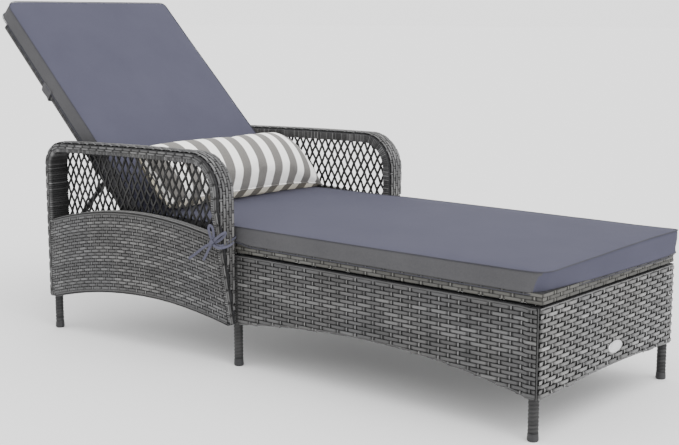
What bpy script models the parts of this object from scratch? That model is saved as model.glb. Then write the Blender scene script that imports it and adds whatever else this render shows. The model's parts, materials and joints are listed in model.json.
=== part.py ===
"""Reclining sun lounger: woven rattan base, two arched arms, hinged back with a prop, and cushions.

Frame: metres, +Z up, floor at z = 0. +X points to the foot end, the head end is at -X, +Y is the
sitter's left. The origin is on the floor under the middle of the lounger's box. Distances called
"behind" are measured from the foot end's outer face towards the head.
"""
import math

import bmesh
import bpy
from mathutils import Vector

# ---- driving dimensions -----------------------------------------------------------------------
GAP = 0.0003                       # between pieces that touch
FOOT_FACE_X = 0.8917               # outer face of the foot end panel

RECLINE = math.radians(44.0)       # back above level at rest
RECLINE_MAX = math.radians(60.0)   # highest notch
HINGE_BEHIND = 1.2346
HINGE_Z = 0.296

LEG_R = 0.0105
LEG_Y = 0.289
LEG_FOOT_BEHIND = 0.013
LEG_MID_BEHIND = 0.8645
LEG_REAR_BEHIND = 1.518
LEG_REAR_Y = 0.3435
CAP_R = 0.0125
CAP_H = 0.017

PANEL_TOP_Z = 0.282
PANEL_OUT_Y = 0.296
PANEL_T = 0.022
SIDE_ARCH_Z = 0.138                # underside of the side panel at its highest
SIDE_ARCH_BEHIND = 0.445
SIDE_HEAD_Z = 0.106
SIDE_FOOT_Z = 0.091
END_ARCH_Z = 0.099
END_CORNER_Z = 0.090

BADGE_Y = 0.0175                   # centre of the blank plate on the foot end
BADGE_Z = 0.1395
BADGE_HALF = (0.030, 0.0135)

DECK_Z = (0.2865, 0.312)
DECK_HALF_Y = 0.292
DECK_REAR_GAP = 0.0175             # from the hinge axis to the deck's rear edge
CROSS_R = 0.011
CROSS_Z = 0.275
CROSS_BEHIND = (0.28, 0.76)

ARM_IN_Y = 0.3035
ARM_OUT_Y = 0.360
ARM_FRONT_BEHIND = 0.859
ARM_REAR_BEHIND = 1.533
ARM_TOP_REAR_Z = 0.519
ARM_TOP_FRONT_Z = 0.529
ARM_FRONT_R = 0.095
ARM_REAR_R = 0.062
ARM_BAND_T = 0.021
ARM_BOTTOM_REAR_Z = 0.0915
ARM_BOTTOM_FRONT_Z = 0.108
ARM_TAPER_Z = (0.110, 0.400)       # the front of the band narrows inwards below this height
ARM_TAPER_OUT_Y = 0.3085
ARM_PANEL_T = 0.018
ARM_PANEL_TOP = (0.305, 0.358, 0.327)      # rear, crown, front
ARM_PANEL_BOTTOM = (0.0935, 0.145, 0.104)
ARM_PANEL_CROWN_BEHIND = 1.15
LATTICE_Y = (0.3062, 0.3092)
LATTICE_CELL = (0.0365, 0.062)
LATTICE_STRAND = 0.0032
LATTICE_BOTTOM_Z = 0.318

SIDE_RAIL_Z = 0.262
SIDE_RAIL_Y = 0.286
REAR_CROSS_BEHIND = 1.520
RACK_CROSS_BEHIND = 1.432
RACK_Y = 0.225
RACK_T = 0.004
RACK_BEHIND = (1.414, 1.588)
RACK_ANGLES = (60.0, 52.0, 44.0, 36.0)     # the back's angle in each notch, degrees
BUMPER_BEHIND = 1.500
ARM_BOLTS = (("front", 0.930), ("rear", 1.455))

RAIL_R = 0.0135
RAIL_Y = 0.2825
RAIL_LIP = 0.009                   # how far the rails run past the hinge axis
BACK_LENGTH = 0.769
MEMBRANE_T = 0.0055
BACK_CROSS_AT = (0.50, 0.7555)     # distances from the hinge along the back
PROP_AT = 0.205                    # pivot along the back, and the prop's own length
PROP_R = 0.007
PROP_Y = 0.2555
PROP_BOLT_R = 0.003
PIVOT_BOLT_R = 0.004

CUSHION_T = 0.0455
CUSHION_HALF_Y = 0.2975
CUSHION_END_BEHIND = -0.016
CUSHION_LENGTH_BACK = 0.805
CUSHION_CORNER_R = 0.030
STRAP_AT = 0.512
STRAP_W = 0.055
STRAP_T = 0.0016
PILLOW_AXES = (0.106, 0.078)       # half of its height and of its thickness
PILLOW_HALF_Y = 0.283
PILLOW_END_CUT = (0.10, 0.86)       # share of height and of thickness lost at its ends
PILLOW_SEAM_PINCH = 1.5            # above 1 the section comes to an edge at its seams
PILLOW_CENTRE = (0.0630, 0.1480)   # along and above the back
TIE_Z = 0.3405
TIE_H = 0.011
TIE_T = 0.0013

# ---- places worked out from the dimensions ----------------------------------------------------
HINGE_X = FOOT_FACE_X - HINGE_BEHIND
ARM_FRONT_X = FOOT_FACE_X - ARM_FRONT_BEHIND
ARM_REAR_X = FOOT_FACE_X - ARM_REAR_BEHIND
BACK_PLANE = DECK_Z[1] - HINGE_Z   # from the hinge axis up to the top of the deck and of the back

SIDES = (("right", -1.0), ("left", 1.0))

# ---- materials --------------------------------------------------------------------------------
FINISHES = {
    "wicker": ((0.20, 0.20, 0.205), 0.55, 0.0),
    "wicker_dark": ((0.10, 0.10, 0.105), 0.6, 0.0),
    "steel": ((0.045, 0.045, 0.05), 0.45, 0.6),
    "zinc": ((0.55, 0.55, 0.56), 0.35, 1.0),
    "plastic": ((0.015, 0.015, 0.016), 0.5, 0.0),
    "silver": ((0.62, 0.62, 0.63), 0.3, 0.9),
    "cushion": ((0.18, 0.185, 0.235), 0.9, 0.0),
    "strap": ((0.13, 0.13, 0.14), 0.9, 0.0),
    "pillow": ((0.72, 0.71, 0.69), 0.9, 0.0),
}


def material(finish):
    """The shared Principled material of one finish."""
    found = bpy.data.materials.get(finish)
    if found:
        return found
    color, roughness, metallic = FINISHES[finish]
    made = bpy.data.materials.new(finish)
    made.use_nodes = True
    shader = made.node_tree.nodes["Principled BSDF"]
    shader.inputs["Base Color"].default_value = (*color, 1.0)
    shader.inputs["Roughness"].default_value = roughness
    shader.inputs["Metallic"].default_value = metallic
    return made


# ---- building blocks --------------------------------------------------------------------------
def add_object(name, bm, finish, parent=None, smooth=False):
    """Put a bmesh into the scene as one named piece."""
    bmesh.ops.recalc_face_normals(bm, faces=bm.faces)
    mesh = bpy.data.meshes.new(name)
    bm.to_mesh(mesh)
    bm.free()
    piece = bpy.data.objects.new(name, mesh)
    bpy.context.scene.collection.objects.link(piece)
    piece.parent = parent
    if finish:
        mesh.materials.append(material(finish))
    if smooth:
        mesh.shade_smooth()
        mesh.set_sharp_from_angle(angle=math.radians(40.0))
    return piece


def add_empty(name, location, parent=None, turn=0.0):
    """A pivot that pieces hang from, turned about +Y."""
    empty = bpy.data.objects.new(name, None)
    bpy.context.scene.collection.objects.link(empty)
    empty.parent = parent
    empty.location = location
    empty.rotation_euler = (0.0, turn, 0.0)
    return empty


def ring_between(start, end, radius, sides, phase=0.5):
    """Two rings of points round the line from start to end."""
    start, end = Vector(start), Vector(end)
    along = (end - start).normalized()
    side = along.orthogonal().normalized()
    other = along.cross(side)
    rings = []
    for centre in (start, end):
        ring = []
        for i in range(sides):
            angle = 2.0 * math.pi * (i + phase) / sides
            ring.append(centre + radius * (math.cos(angle) * side + math.sin(angle) * other))
        rings.append(ring)
    return rings


def loft(bm, rings):
    """Join rings of points into one closed skin with flat ends."""
    made = [[bm.verts.new(point) for point in ring] for ring in rings]
    count = len(made[0])
    for low, high in zip(made, made[1:]):
        for i in range(count):
            j = (i + 1) % count
            bm.faces.new((low[i], low[j], high[j], high[i]))
    bm.faces.new(list(reversed(made[0])))
    bm.faces.new(made[-1])
    return made


def tube(name, start, end, radius, finish, parent=None, sides=16):
    """A round bar from start to end."""
    bm = bmesh.new()
    loft(bm, ring_between(start, end, radius, sides))
    return add_object(name, bm, finish, parent, smooth=True)


def turned_along_y(name, profile, side, centre, finish, parent=None, sides=16):
    """A turned piece on a line along Y: profile is (distance from the middle plane, radius)."""
    bm = bmesh.new()
    rings = []
    for offset, radius in profile:
        ring = []
        for i in range(sides):
            angle = 2.0 * math.pi * (i + 0.5) / sides
            ring.append((centre[0] + radius * math.cos(angle), side * offset,
                         centre[1] + radius * math.sin(angle)))
        rings.append(ring)
    loft(bm, rings)
    return add_object(name, bm, finish, parent, smooth=True)


def plate_xz(name, outline, y_span, finish, parent=None):
    """An outline in the X-Z plane, made solid between two values of y."""
    bm = bmesh.new()
    rings = [[(x, y, z) for x, z in outline] for y in sorted(y_span)]
    loft(bm, rings)
    return add_object(name, bm, finish, parent)


def box(name, low, high, finish, parent=None, bevel=0.0):
    """A box between two corners, with its edges bevelled if asked."""
    bm = bmesh.new()
    bmesh.ops.create_cube(bm, size=1.0)
    size = [b - a for a, b in zip(low, high)]
    middle = [(a + b) / 2.0 for a, b in zip(low, high)]
    bmesh.ops.scale(bm, vec=size, verts=bm.verts)
    bmesh.ops.translate(bm, vec=middle, verts=bm.verts)
    if bevel:
        bmesh.ops.bevel(bm, geom=bm.edges[:], offset=bevel, segments=2, profile=0.5,
                        affect="EDGES")
    return add_object(name, bm, finish, parent)


def bore(piece, start, end, radius, sides=16):
    """Cut a round hole from start to end, in the piece's own coordinates."""
    bm = bmesh.new()
    loft(bm, ring_between(start, end, radius, sides))
    cutter = add_object(piece.name + "_cutter", bm, None, piece)
    cutter.hide_render = True
    cutter.display_type = "WIRE"
    cut = piece.modifiers.new("bore_" + str(len(piece.modifiers)), "BOOLEAN")
    cut.operation = "DIFFERENCE"
    cut.solver = "EXACT"
    cut.object = cutter
    return piece


def arc(centre, radius, start, end, steps):
    """Points on an arc in the X-Z plane, angles in degrees from +X towards +Z."""
    points = []
    for i in range(steps + 1):
        angle = math.radians(start + (end - start) * i / steps)
        points.append((centre[0] + radius * math.cos(angle), centre[1] + radius * math.sin(angle)))
    return points


def arch_height(behind, rear, crown, front, crown_behind, rear_behind, front_behind):
    """Height of an arched edge: highest at the crown, with its own drop to each end."""
    if behind > crown_behind:
        drop, reach = crown - rear, rear_behind - crown_behind
    else:
        drop, reach = crown - front, crown_behind - front_behind
    return crown - drop * ((behind - crown_behind) / reach) ** 2


# ---- legs -------------------------------------------------------------------------------------
def build_legs():
    """Six wrapped legs, each on a plastic foot cap."""
    places = (
        ("foot", LEG_FOOT_BEHIND, LEG_Y, PANEL_TOP_Z - 0.001),
        ("mid", LEG_MID_BEHIND, LEG_Y, PANEL_TOP_Z - 0.001),
        ("rear", LEG_REAR_BEHIND, LEG_REAR_Y, ARM_BOTTOM_REAR_Z - GAP),
    )
    for place, behind, y, top in places:
        for side_name, side in SIDES:
            x = FOOT_FACE_X - behind
            leg_name = "leg_" + place + "_" + side_name
            tube(leg_name, (x, side * y, CAP_H + GAP), (x, side * y, top), LEG_R, "wicker_dark")
            bm = bmesh.new()
            rings = []
            for z, radius in ((0.0, CAP_R - 0.0015), (0.003, CAP_R), (CAP_H, CAP_R - 0.001)):
                rings.append(ring_between((x, side * y, z), (x, side * y, z + 1.0), radius, 16)[0])
            loft(bm, rings)
            add_object("cap_" + place + "_" + side_name, bm, "plastic", smooth=True)


# ---- base -------------------------------------------------------------------------------------
def build_side_panels():
    """The long woven panels, each with an arched underside."""
    front = LEG_FOOT_BEHIND + LEG_R + GAP
    rear = LEG_MID_BEHIND - LEG_R - GAP
    steps = 16
    outline = [(FOOT_FACE_X - front, PANEL_TOP_Z), (FOOT_FACE_X - rear, PANEL_TOP_Z)]
    for i in range(steps + 1):
        behind = rear + (front - rear) * i / steps
        z = arch_height(behind, SIDE_HEAD_Z, SIDE_ARCH_Z, SIDE_FOOT_Z, SIDE_ARCH_BEHIND, rear, front)
        outline.append((FOOT_FACE_X - behind, z))
    for side_name, side in SIDES:
        span = (side * (PANEL_OUT_Y - PANEL_T), side * PANEL_OUT_Y)
        plate_xz("side_panel_" + side_name, outline, span, "wicker")


def build_foot_panel():
    """The woven panel across the foot end, and the blank plate on it."""
    half = LEG_Y - LEG_R - GAP
    steps = 10
    outline = [(half, PANEL_TOP_Z), (-half, PANEL_TOP_Z)]
    for i in range(steps + 1):
        y = -half + 2.0 * half * i / steps
        z = END_ARCH_Z - (END_ARCH_Z - END_CORNER_Z) * (y / half) ** 2
        outline.append((y, z))
    bm = bmesh.new()
    loft(bm, [[(x, y, z) for y, z in outline] for x in (FOOT_FACE_X - PANEL_T, FOOT_FACE_X)])
    add_object("foot_end_panel", bm, "wicker")

    bm = bmesh.new()
    rings = []
    for x, scale in ((0.0, 1.0), (0.0012, 1.0), (0.0022, 0.9)):
        ring = []
        for i in range(24):
            angle = 2.0 * math.pi * i / 24
            ring.append((FOOT_FACE_X + GAP + x, BADGE_Y + BADGE_HALF[0] * scale * math.cos(angle),
                         BADGE_Z + BADGE_HALF[1] * scale * math.sin(angle)))
        rings.append(ring)
    loft(bm, rings)
    add_object("badge_plate", bm, "silver", smooth=True)


def build_deck():
    """The woven seat deck on its cross rails."""
    rear_x = HINGE_X + DECK_REAR_GAP
    box("seat_deck", (rear_x, -DECK_HALF_Y, DECK_Z[0]), (FOOT_FACE_X + 0.001, DECK_HALF_Y, DECK_Z[1]),
        "wicker", bevel=0.004)
    inner_y = PANEL_OUT_Y - PANEL_T - GAP
    for i, behind in enumerate(CROSS_BEHIND):
        x = FOOT_FACE_X - behind
        half = inner_y
        if behind > LEG_MID_BEHIND:
            half = SIDE_RAIL_Y - CROSS_R - GAP
        tube("deck_cross_rail_" + str(i + 1), (x, -half, CROSS_Z), (x, half, CROSS_Z), CROSS_R, "steel")


def build_rear_frame():
    """Steel rails between the arms, with the racks that hold the prop and the back's bumpers."""
    front_x = FOOT_FACE_X - LEG_MID_BEHIND - LEG_R - GAP
    for side_name, side in SIDES:
        y = side * SIDE_RAIL_Y
        rail = tube("side_rail_" + side_name, (front_x, y, SIDE_RAIL_Z), (ARM_REAR_X, y, SIDE_RAIL_Z),
                    CROSS_R, "steel")
        for place, behind in ARM_BOLTS:
            x = FOOT_FACE_X - behind
            bore(rail, (x, y - 0.03, SIDE_RAIL_Z), (x, y + 0.03, SIDE_RAIL_Z), PIVOT_BOLT_R + GAP)
            profile = ((SIDE_RAIL_Y - CROSS_R - 0.0055, 0.0045), (SIDE_RAIL_Y - CROSS_R - 0.0045, 0.007),
                       (SIDE_RAIL_Y - CROSS_R - 0.0005, 0.007),
                       (SIDE_RAIL_Y - CROSS_R - 0.0005 + 1e-5, PIVOT_BOLT_R),
                       (ARM_IN_Y - GAP, PIVOT_BOLT_R))
            turned_along_y("arm_bolt_" + place + "_" + side_name, profile, side, (x, SIDE_RAIL_Z), "zinc")

    half = SIDE_RAIL_Y - CROSS_R - GAP
    for name, behind in (("rear_cross_rail", REAR_CROSS_BEHIND), ("rack_cross_rail", RACK_CROSS_BEHIND)):
        x = FOOT_FACE_X - behind
        tube(name, (x, -half, SIDE_RAIL_Z), (x, half, SIDE_RAIL_Z), CROSS_R, "steel")

    base_z = SIDE_RAIL_Z + CROSS_R + GAP
    tip_z = HINGE_Z - PROP_R - 0.0005
    outline = [(FOOT_FACE_X - RACK_BEHIND[1], base_z), (FOOT_FACE_X - RACK_BEHIND[0], base_z)]
    outline.append((FOOT_FACE_X - RACK_BEHIND[0], tip_z))
    for angle in RACK_ANGLES:
        x = HINGE_X - 2.0 * PROP_AT * math.cos(math.radians(angle))
        radius = PROP_R + 0.0005
        for side, drop in ((1.0, 0.0), (1.0, 0.004), (0.5, 0.0065), (-0.5, 0.0065), (-1.0, 0.004),
                           (-1.0, 0.0)):
            outline.append((x + side * radius, tip_z - drop))
    outline.append((FOOT_FACE_X - RACK_BEHIND[1], tip_z))
    for side_name, side in SIDES:
        span = (side * (RACK_Y - RACK_T / 2.0), side * (RACK_Y + RACK_T / 2.0))
        plate_xz("rack_" + side_name, outline, span, "steel")
        x = FOOT_FACE_X - BUMPER_BEHIND
        tube("bumper_" + side_name, (x, side * SIDE_RAIL_Y, SIDE_RAIL_Z + CROSS_R + GAP),
             (x, side * SIDE_RAIL_Y, HINGE_Z - RAIL_R - 0.0006), 0.008, "plastic")


def build_hinge_brackets():
    """The plates and bolts that the back turns on."""
    for side_name, side in SIDES:
        inner = SIDE_RAIL_Y + CROSS_R + GAP
        outer = inner + 0.003
        half = 0.014
        outline = [(HINGE_X - half, SIDE_RAIL_Z - 0.008), (HINGE_X + half, SIDE_RAIL_Z - 0.008)]
        outline += arc((HINGE_X, HINGE_Z), half, 0.0, 180.0, 10)
        bracket = plate_xz("hinge_bracket_" + side_name, outline, (side * inner, side * outer), "steel")
        bore(bracket, (HINGE_X, side * (inner - 0.01), HINGE_Z), (HINGE_X, side * (outer + 0.01), HINGE_Z),
             PIVOT_BOLT_R + GAP)
        profile = ((RAIL_Y - RAIL_R + 0.001, PIVOT_BOLT_R), (outer + GAP, PIVOT_BOLT_R),
                   (outer + GAP + 1e-5, 0.008), (outer + 0.002, 0.008), (outer + 0.003, 0.006))
        turned_along_y("back_pivot_bolt_" + side_name, profile, side, (HINGE_X, HINGE_Z), "zinc")


# ---- arms -------------------------------------------------------------------------------------
def band_line(inset):
    """The arm's outline, rear foot to front foot, moved inwards by inset."""
    rear_x = ARM_REAR_X + inset
    front_x = ARM_FRONT_X - inset
    rear_r = ARM_REAR_R - inset
    front_r = ARM_FRONT_R - inset
    rear_c = (ARM_REAR_X + ARM_REAR_R, ARM_TOP_REAR_Z - ARM_REAR_R)
    front_c = (ARM_FRONT_X - ARM_FRONT_R, ARM_TOP_FRONT_Z - ARM_FRONT_R)
    points = [(rear_x, ARM_BOTTOM_REAR_Z), (rear_x, 0.30)]
    points += arc(rear_c, rear_r, 180.0, 92.0, 7)
    for i in range(1, 5):
        part = i / 5.0
        x = rear_c[0] + (front_c[0] - rear_c[0]) * part
        z = ARM_TOP_REAR_Z + (ARM_TOP_FRONT_Z - ARM_TOP_REAR_Z) * part
        points.append((x, z + 0.002 * math.sin(math.pi * part) - inset))
    points += arc(front_c, front_r, 90.0, 0.0, 8)
    for i in range(6):
        z = ARM_TAPER_Z[1] + (ARM_TAPER_Z[0] - ARM_TAPER_Z[1]) * i / 5.0
        points.append((front_x, z))
    points.append((front_x, ARM_BOTTOM_FRONT_Z))
    return points


def front_out_y(z):
    """How far out the front of the arm stands at a height."""
    low, high = ARM_TAPER_Z
    part = min(max((z - low) / (high - low), 0.0), 1.0)
    return ARM_TAPER_OUT_Y + (ARM_OUT_Y - ARM_TAPER_OUT_Y) * part


def band_out_y(x, z):
    """Outer side of the arm band: full width, but narrowing down the front."""
    if x > ARM_FRONT_X - ARM_FRONT_R:
        return front_out_y(z)
    return ARM_OUT_Y


def build_arm_band(side_name, side):
    """The arched band, a box section with its edges taken off."""
    cut = 0.005
    outer, inner = band_line(0.0), band_line(ARM_BAND_T)
    outer_in, inner_in = band_line(cut), band_line(ARM_BAND_T - cut)
    rings = []
    for i in range(len(outer)):
        y_out = band_out_y(*outer[i])
        trim = min(cut, (y_out - ARM_IN_Y) * 0.4)
        section = (
            (outer[i], ARM_IN_Y + trim), (outer[i], y_out - trim), (outer_in[i], y_out),
            (inner_in[i], y_out), (inner[i], y_out - trim), (inner[i], ARM_IN_Y + trim),
            (inner_in[i], ARM_IN_Y), (outer_in[i], ARM_IN_Y),
        )
        rings.append([(point[0], side * y, point[1]) for point, y in section])
    bm = bmesh.new()
    loft(bm, rings)
    add_object("arm_band_" + side_name, bm, "wicker")


def panel_out_y(behind, z):
    """Outer side of the arm's woven panel, which leans in towards the middle leg."""
    front_behind = ARM_FRONT_BEHIND + ARM_BAND_T
    rear_behind = ARM_REAR_BEHIND - ARM_BAND_T
    part = (rear_behind - behind) / (rear_behind - front_behind)
    lean = (ARM_OUT_Y - front_out_y(z)) * part ** 2
    return ARM_OUT_Y - 0.002 - lean


def build_arm_panel(side_name, side):
    """The woven panel below the arm, arched above and below."""
    front = ARM_FRONT_BEHIND + ARM_BAND_T + GAP
    rear = ARM_REAR_BEHIND - ARM_BAND_T - GAP
    columns, rows = 14, 4
    rings = []
    for i in range(columns + 1):
        behind = rear + (front - rear) * i / columns
        args = (ARM_PANEL_CROWN_BEHIND, rear, front)
        low = arch_height(behind, *ARM_PANEL_BOTTOM, *args)
        high = arch_height(behind, *ARM_PANEL_TOP, *args)
        heights = [low + (high - low) * j / rows for j in range(rows + 1)]
        x = FOOT_FACE_X - behind
        ring = [(x, side * panel_out_y(behind, z), z) for z in heights]
        for z in reversed(heights):
            thin = min(ARM_PANEL_T, panel_out_y(behind, z) - ARM_IN_Y + 0.004)
            ring.append((x, side * (panel_out_y(behind, z) - thin), z))
        rings.append(ring)
    bm = bmesh.new()
    loft(bm, rings)
    add_object("arm_panel_" + side_name, bm, "wicker")


def lattice_outline():
    """The edge of the lattice: just inside the band, level along the seat."""
    edge = ARM_BAND_T + 0.003
    points = [point for point in band_line(edge) if point[1] > LATTICE_BOTTOM_Z + 0.002]
    points.insert(0, (ARM_REAR_X + edge, LATTICE_BOTTOM_Z))
    points.append((ARM_FRONT_X - edge, LATTICE_BOTTOM_Z))
    return points


def build_lattice(side_name, side):
    """The diamond lattice: a thin plate with rows of diamond holes."""
    y_span = (side * LATTICE_Y[0], side * LATTICE_Y[1])
    lattice = plate_xz("arm_lattice_" + side_name, lattice_outline(), y_span, "wicker_dark")
    wide, tall = LATTICE_CELL
    half_x = wide / 2.0 - LATTICE_STRAND
    half_z = tall / 2.0 - LATTICE_STRAND * tall / wide
    left, right = ARM_REAR_X + ARM_BAND_T + 0.003, ARM_FRONT_X - ARM_BAND_T - 0.003
    bottom, top = LATTICE_BOTTOM_Z, ARM_TOP_REAR_Z - ARM_BAND_T - 0.003
    corners = ((ARM_REAR_X + ARM_REAR_R, ARM_TOP_REAR_Z - ARM_REAR_R, ARM_REAR_R, -1.0),
               (ARM_FRONT_X - ARM_FRONT_R, ARM_TOP_FRONT_Z - ARM_FRONT_R, ARM_FRONT_R, 1.0))
    bm = bmesh.new()
    rows = int((top - bottom) / (tall / 2.0)) + 1
    columns = int((right - left) / wide) + 1
    for row in range(rows):
        z = bottom + 0.006 + half_z + row * tall / 2.0
        for column in range(columns + 1):
            x = left + (column + 0.5 * (row % 2)) * wide + 0.004
            tips = ((x + half_x, z), (x, z + half_z), (x - half_x, z), (x, z - half_z))
            if not all(left + 0.005 < px < right - 0.005 and bottom + 0.004 < pz < top - 0.004
                       for px, pz in tips):
                continue
            inside = True
            for cx, cz, radius, way in corners:
                for px, pz in tips:
                    beyond = (px - cx) * way > 0.0 and pz > cz
                    if beyond and math.hypot(px - cx, pz - cz) > radius - ARM_BAND_T - 0.008:
                        inside = False
            if inside:
                loft(bm, [[(px, side * y, pz) for px, pz in tips]
                          for y in (LATTICE_Y[0] - 0.005, LATTICE_Y[1] + 0.005)])
    cutter = add_object("lattice_" + side_name + "_cutter", bm, None)
    cutter.hide_render = True
    cutter.display_type = "WIRE"
    cut = lattice.modifiers.new("holes", "BOOLEAN")
    cut.operation = "DIFFERENCE"
    cut.solver = "EXACT"
    cut.object = cutter


def build_tie(side_name, side):
    """The ribbon that ties the cushion to the arm's front post, with its bow as a small knot."""
    gap = 0.0006
    front = ARM_FRONT_X + gap
    rear = ARM_FRONT_X - ARM_BAND_T - gap
    y_in = ARM_IN_Y - gap
    y_out = front_out_y(TIE_Z + TIE_H) + gap
    z0, z1 = TIE_Z - TIE_H / 2.0, TIE_Z + TIE_H / 2.0
    t = TIE_T
    bm = bmesh.new()
    outer = ((rear - t, y_in - t), (front + t, y_in - t), (front + t, y_out + t), (rear - t, y_out + t))
    inner = ((rear, y_in), (front, y_in), (front, y_out), (rear, y_out))
    loops = []
    for z in (z0, z1):
        for loop in (outer, inner):
            loops.append([bm.verts.new((x, side * y, z)) for x, y in loop])
    low_out, low_in, high_out, high_in = loops
    for i in range(4):
        j = (i + 1) % 4
        bm.faces.new((low_out[i], low_out[j], high_out[j], high_out[i]))
        bm.faces.new((low_in[j], low_in[i], high_in[i], high_in[j]))
        bm.faces.new((low_in[i], low_in[j], low_out[j], low_out[i]))
        bm.faces.new((high_out[i], high_out[j], high_in[j], high_in[i]))
    add_object("cushion_tie_" + side_name, bm, "cushion")
    knot_x = rear + ARM_BAND_T / 2.0
    box("tie_bow_" + side_name,
        (knot_x - 0.012, min(side * (y_out + t + GAP), side * (y_out + t + 0.011)), TIE_Z - 0.034),
        (knot_x + 0.012, max(side * (y_out + t + GAP), side * (y_out + t + 0.011)), TIE_Z + 0.002),
        "cushion", bevel=0.003)


def build_arms():
    """Both arms and what is tied to them."""
    for side_name, side in SIDES:
        build_arm_band(side_name, side)
        build_arm_panel(side_name, side)
        build_lattice(side_name, side)
        build_tie(side_name, side)


# ---- back, modelled lying flat and turned up by its pivot ---------------------------------------
def build_back(pivot):
    """The hinged back: a welded frame, its woven face, the strap and the cushion."""
    for side_name, side in SIDES:
        y = side * RAIL_Y
        rail = tube("back_rail_" + side_name, (RAIL_LIP, y, 0.0), (-BACK_LENGTH, y, 0.0), RAIL_R, "wicker",
                    pivot)
        bore(rail, (0.0, y - 0.03, 0.0), (0.0, y + 0.03, 0.0), PIVOT_BOLT_R + GAP)
        bore(rail, (-PROP_AT, side * (RAIL_Y - RAIL_R - 0.01), 0.0),
             (-PROP_AT, side * (RAIL_Y - 0.002), 0.0), PROP_BOLT_R + GAP)
        profile = ((PROP_Y - PROP_R - 0.0045, 0.004), (PROP_Y - PROP_R - 0.0035, 0.006),
                   (PROP_Y - PROP_R - 0.0006, 0.006), (PROP_Y - PROP_R - 0.0006 + 1e-5, PROP_BOLT_R),
                   (RAIL_Y - 0.003, PROP_BOLT_R))
        turned_along_y("prop_bolt_" + side_name, profile, side, (-PROP_AT, 0.0), "zinc", pivot)
    half = RAIL_Y - RAIL_R - GAP
    tube("back_cross_bottom", (0.0, -half, 0.0), (0.0, half, 0.0), 0.0085, "steel", pivot)
    for name, along in zip(("back_cross_middle", "back_cross_top"), BACK_CROSS_AT):
        radius = 0.009 if name == "back_cross_middle" else RAIL_R
        tube(name, (-along, -half, 0.0 if radius == RAIL_R else -0.001),
             (-along, half, 0.0 if radius == RAIL_R else -0.001), radius, "wicker", pivot)
    top = BACK_PLANE
    box("back_woven_face", (-(BACK_CROSS_AT[1] - RAIL_R - GAP), -half, top - MEMBRANE_T),
        (0.004, half, top - 0.0006), "wicker", pivot)

    x_low, x_high = -(STRAP_AT + STRAP_W / 2.0), -(STRAP_AT - STRAP_W / 2.0)
    under = -(RAIL_R + 0.0012)
    edge = RAIL_Y + RAIL_R + 0.0008
    t = STRAP_T
    outline = ((-edge - t, top - GAP), (-edge - t, under - t), (edge + t, under - t), (edge + t, top - GAP),
               (edge, top - GAP), (edge, under), (-edge, under), (-edge, top - GAP))
    bm = bmesh.new()
    loft(bm, [[(x, y, z) for y, z in outline] for x in (x_low, x_high)])
    add_object("back_strap", bm, "strap", pivot)

    build_cushion("back_cushion", -CUSHION_LENGTH_BACK, None, top + GAP, pivot)


def build_cushion(name, far_x, pivot_x, bottom, parent):
    """One flat boxed cushion: mitred at the hinge, round-cornered at its free end."""
    tan_half = math.tan(RECLINE_MAX / 2.0)
    way = -1.0 if far_x < (pivot_x or 0.0) else 1.0
    hinge = pivot_x or 0.0
    bm = bmesh.new()
    rings = []
    levels = ((0.0, 0.004), (0.006, 0.0), (CUSHION_T - 0.006, 0.0), (CUSHION_T, 0.004))
    for lift, inset in levels:
        above_axis = BACK_PLANE + GAP + lift
        near_x = hinge + way * (above_axis * tan_half + 0.0015)
        half = CUSHION_HALF_Y - inset
        end_x = far_x - way * inset
        radius = CUSHION_CORNER_R - inset
        ring = [(near_x, -half), (near_x, half)]
        for i in range(5):
            angle = math.radians(90.0 - 90.0 * i / 4.0)
            ring.append((end_x - way * radius * (1.0 - math.cos(angle)),
                         half - radius * (1.0 - math.sin(angle))))
        for i in range(5):
            angle = math.radians(-90.0 * i / 4.0)
            ring.append((end_x - way * radius * (1.0 - math.cos(angle)),
                         -half + radius * (1.0 + math.sin(angle))))
        rings.append([(x, y, bottom + lift) for x, y in ring])
    loft(bm, rings)
    add_object(name, bm, "cushion", parent)


def build_prop(pivot):
    """The U-shaped prop, hinged to the back and standing on the racks."""
    for side_name, side in SIDES:
        y = side * PROP_Y
        arm = tube("prop_arm_" + side_name, (PROP_R, y, 0.0), (-PROP_AT - PROP_R, y, 0.0), PROP_R, "steel",
                   pivot)
        bore(arm, (0.0, y - 0.02, 0.0), (0.0, y + 0.02, 0.0), PROP_BOLT_R + GAP)
    half = PROP_Y - PROP_R - GAP
    tube("prop_bar", (-PROP_AT, -half, 0.0), (-PROP_AT, half, 0.0), PROP_R, "steel", pivot)


def build_pillow(pivot):
    """The loose lumbar pillow: a plump form, narrower at its ends."""
    bm = bmesh.new()
    rings = []
    steps, sides = 10, 20
    for i in range(steps + 1):
        part = -1.0 + 2.0 * i / steps
        y = PILLOW_HALF_Y * part
        shrink = 1.0 - PILLOW_END_CUT[0] * part ** 4
        thick = 1.0 - PILLOW_END_CUT[1] * part ** 4
        ring = []
        for j in range(sides):
            angle = 2.0 * math.pi * j / sides
            bulge = math.copysign(abs(math.sin(angle)) ** PILLOW_SEAM_PINCH, math.sin(angle))
            ring.append((PILLOW_AXES[0] * shrink * math.cos(angle), y, PILLOW_AXES[1] * thick * bulge))
        rings.append(ring)
    loft(bm, rings)
    add_object("lumbar_pillow", bm, "pillow", pivot, smooth=True)


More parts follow.
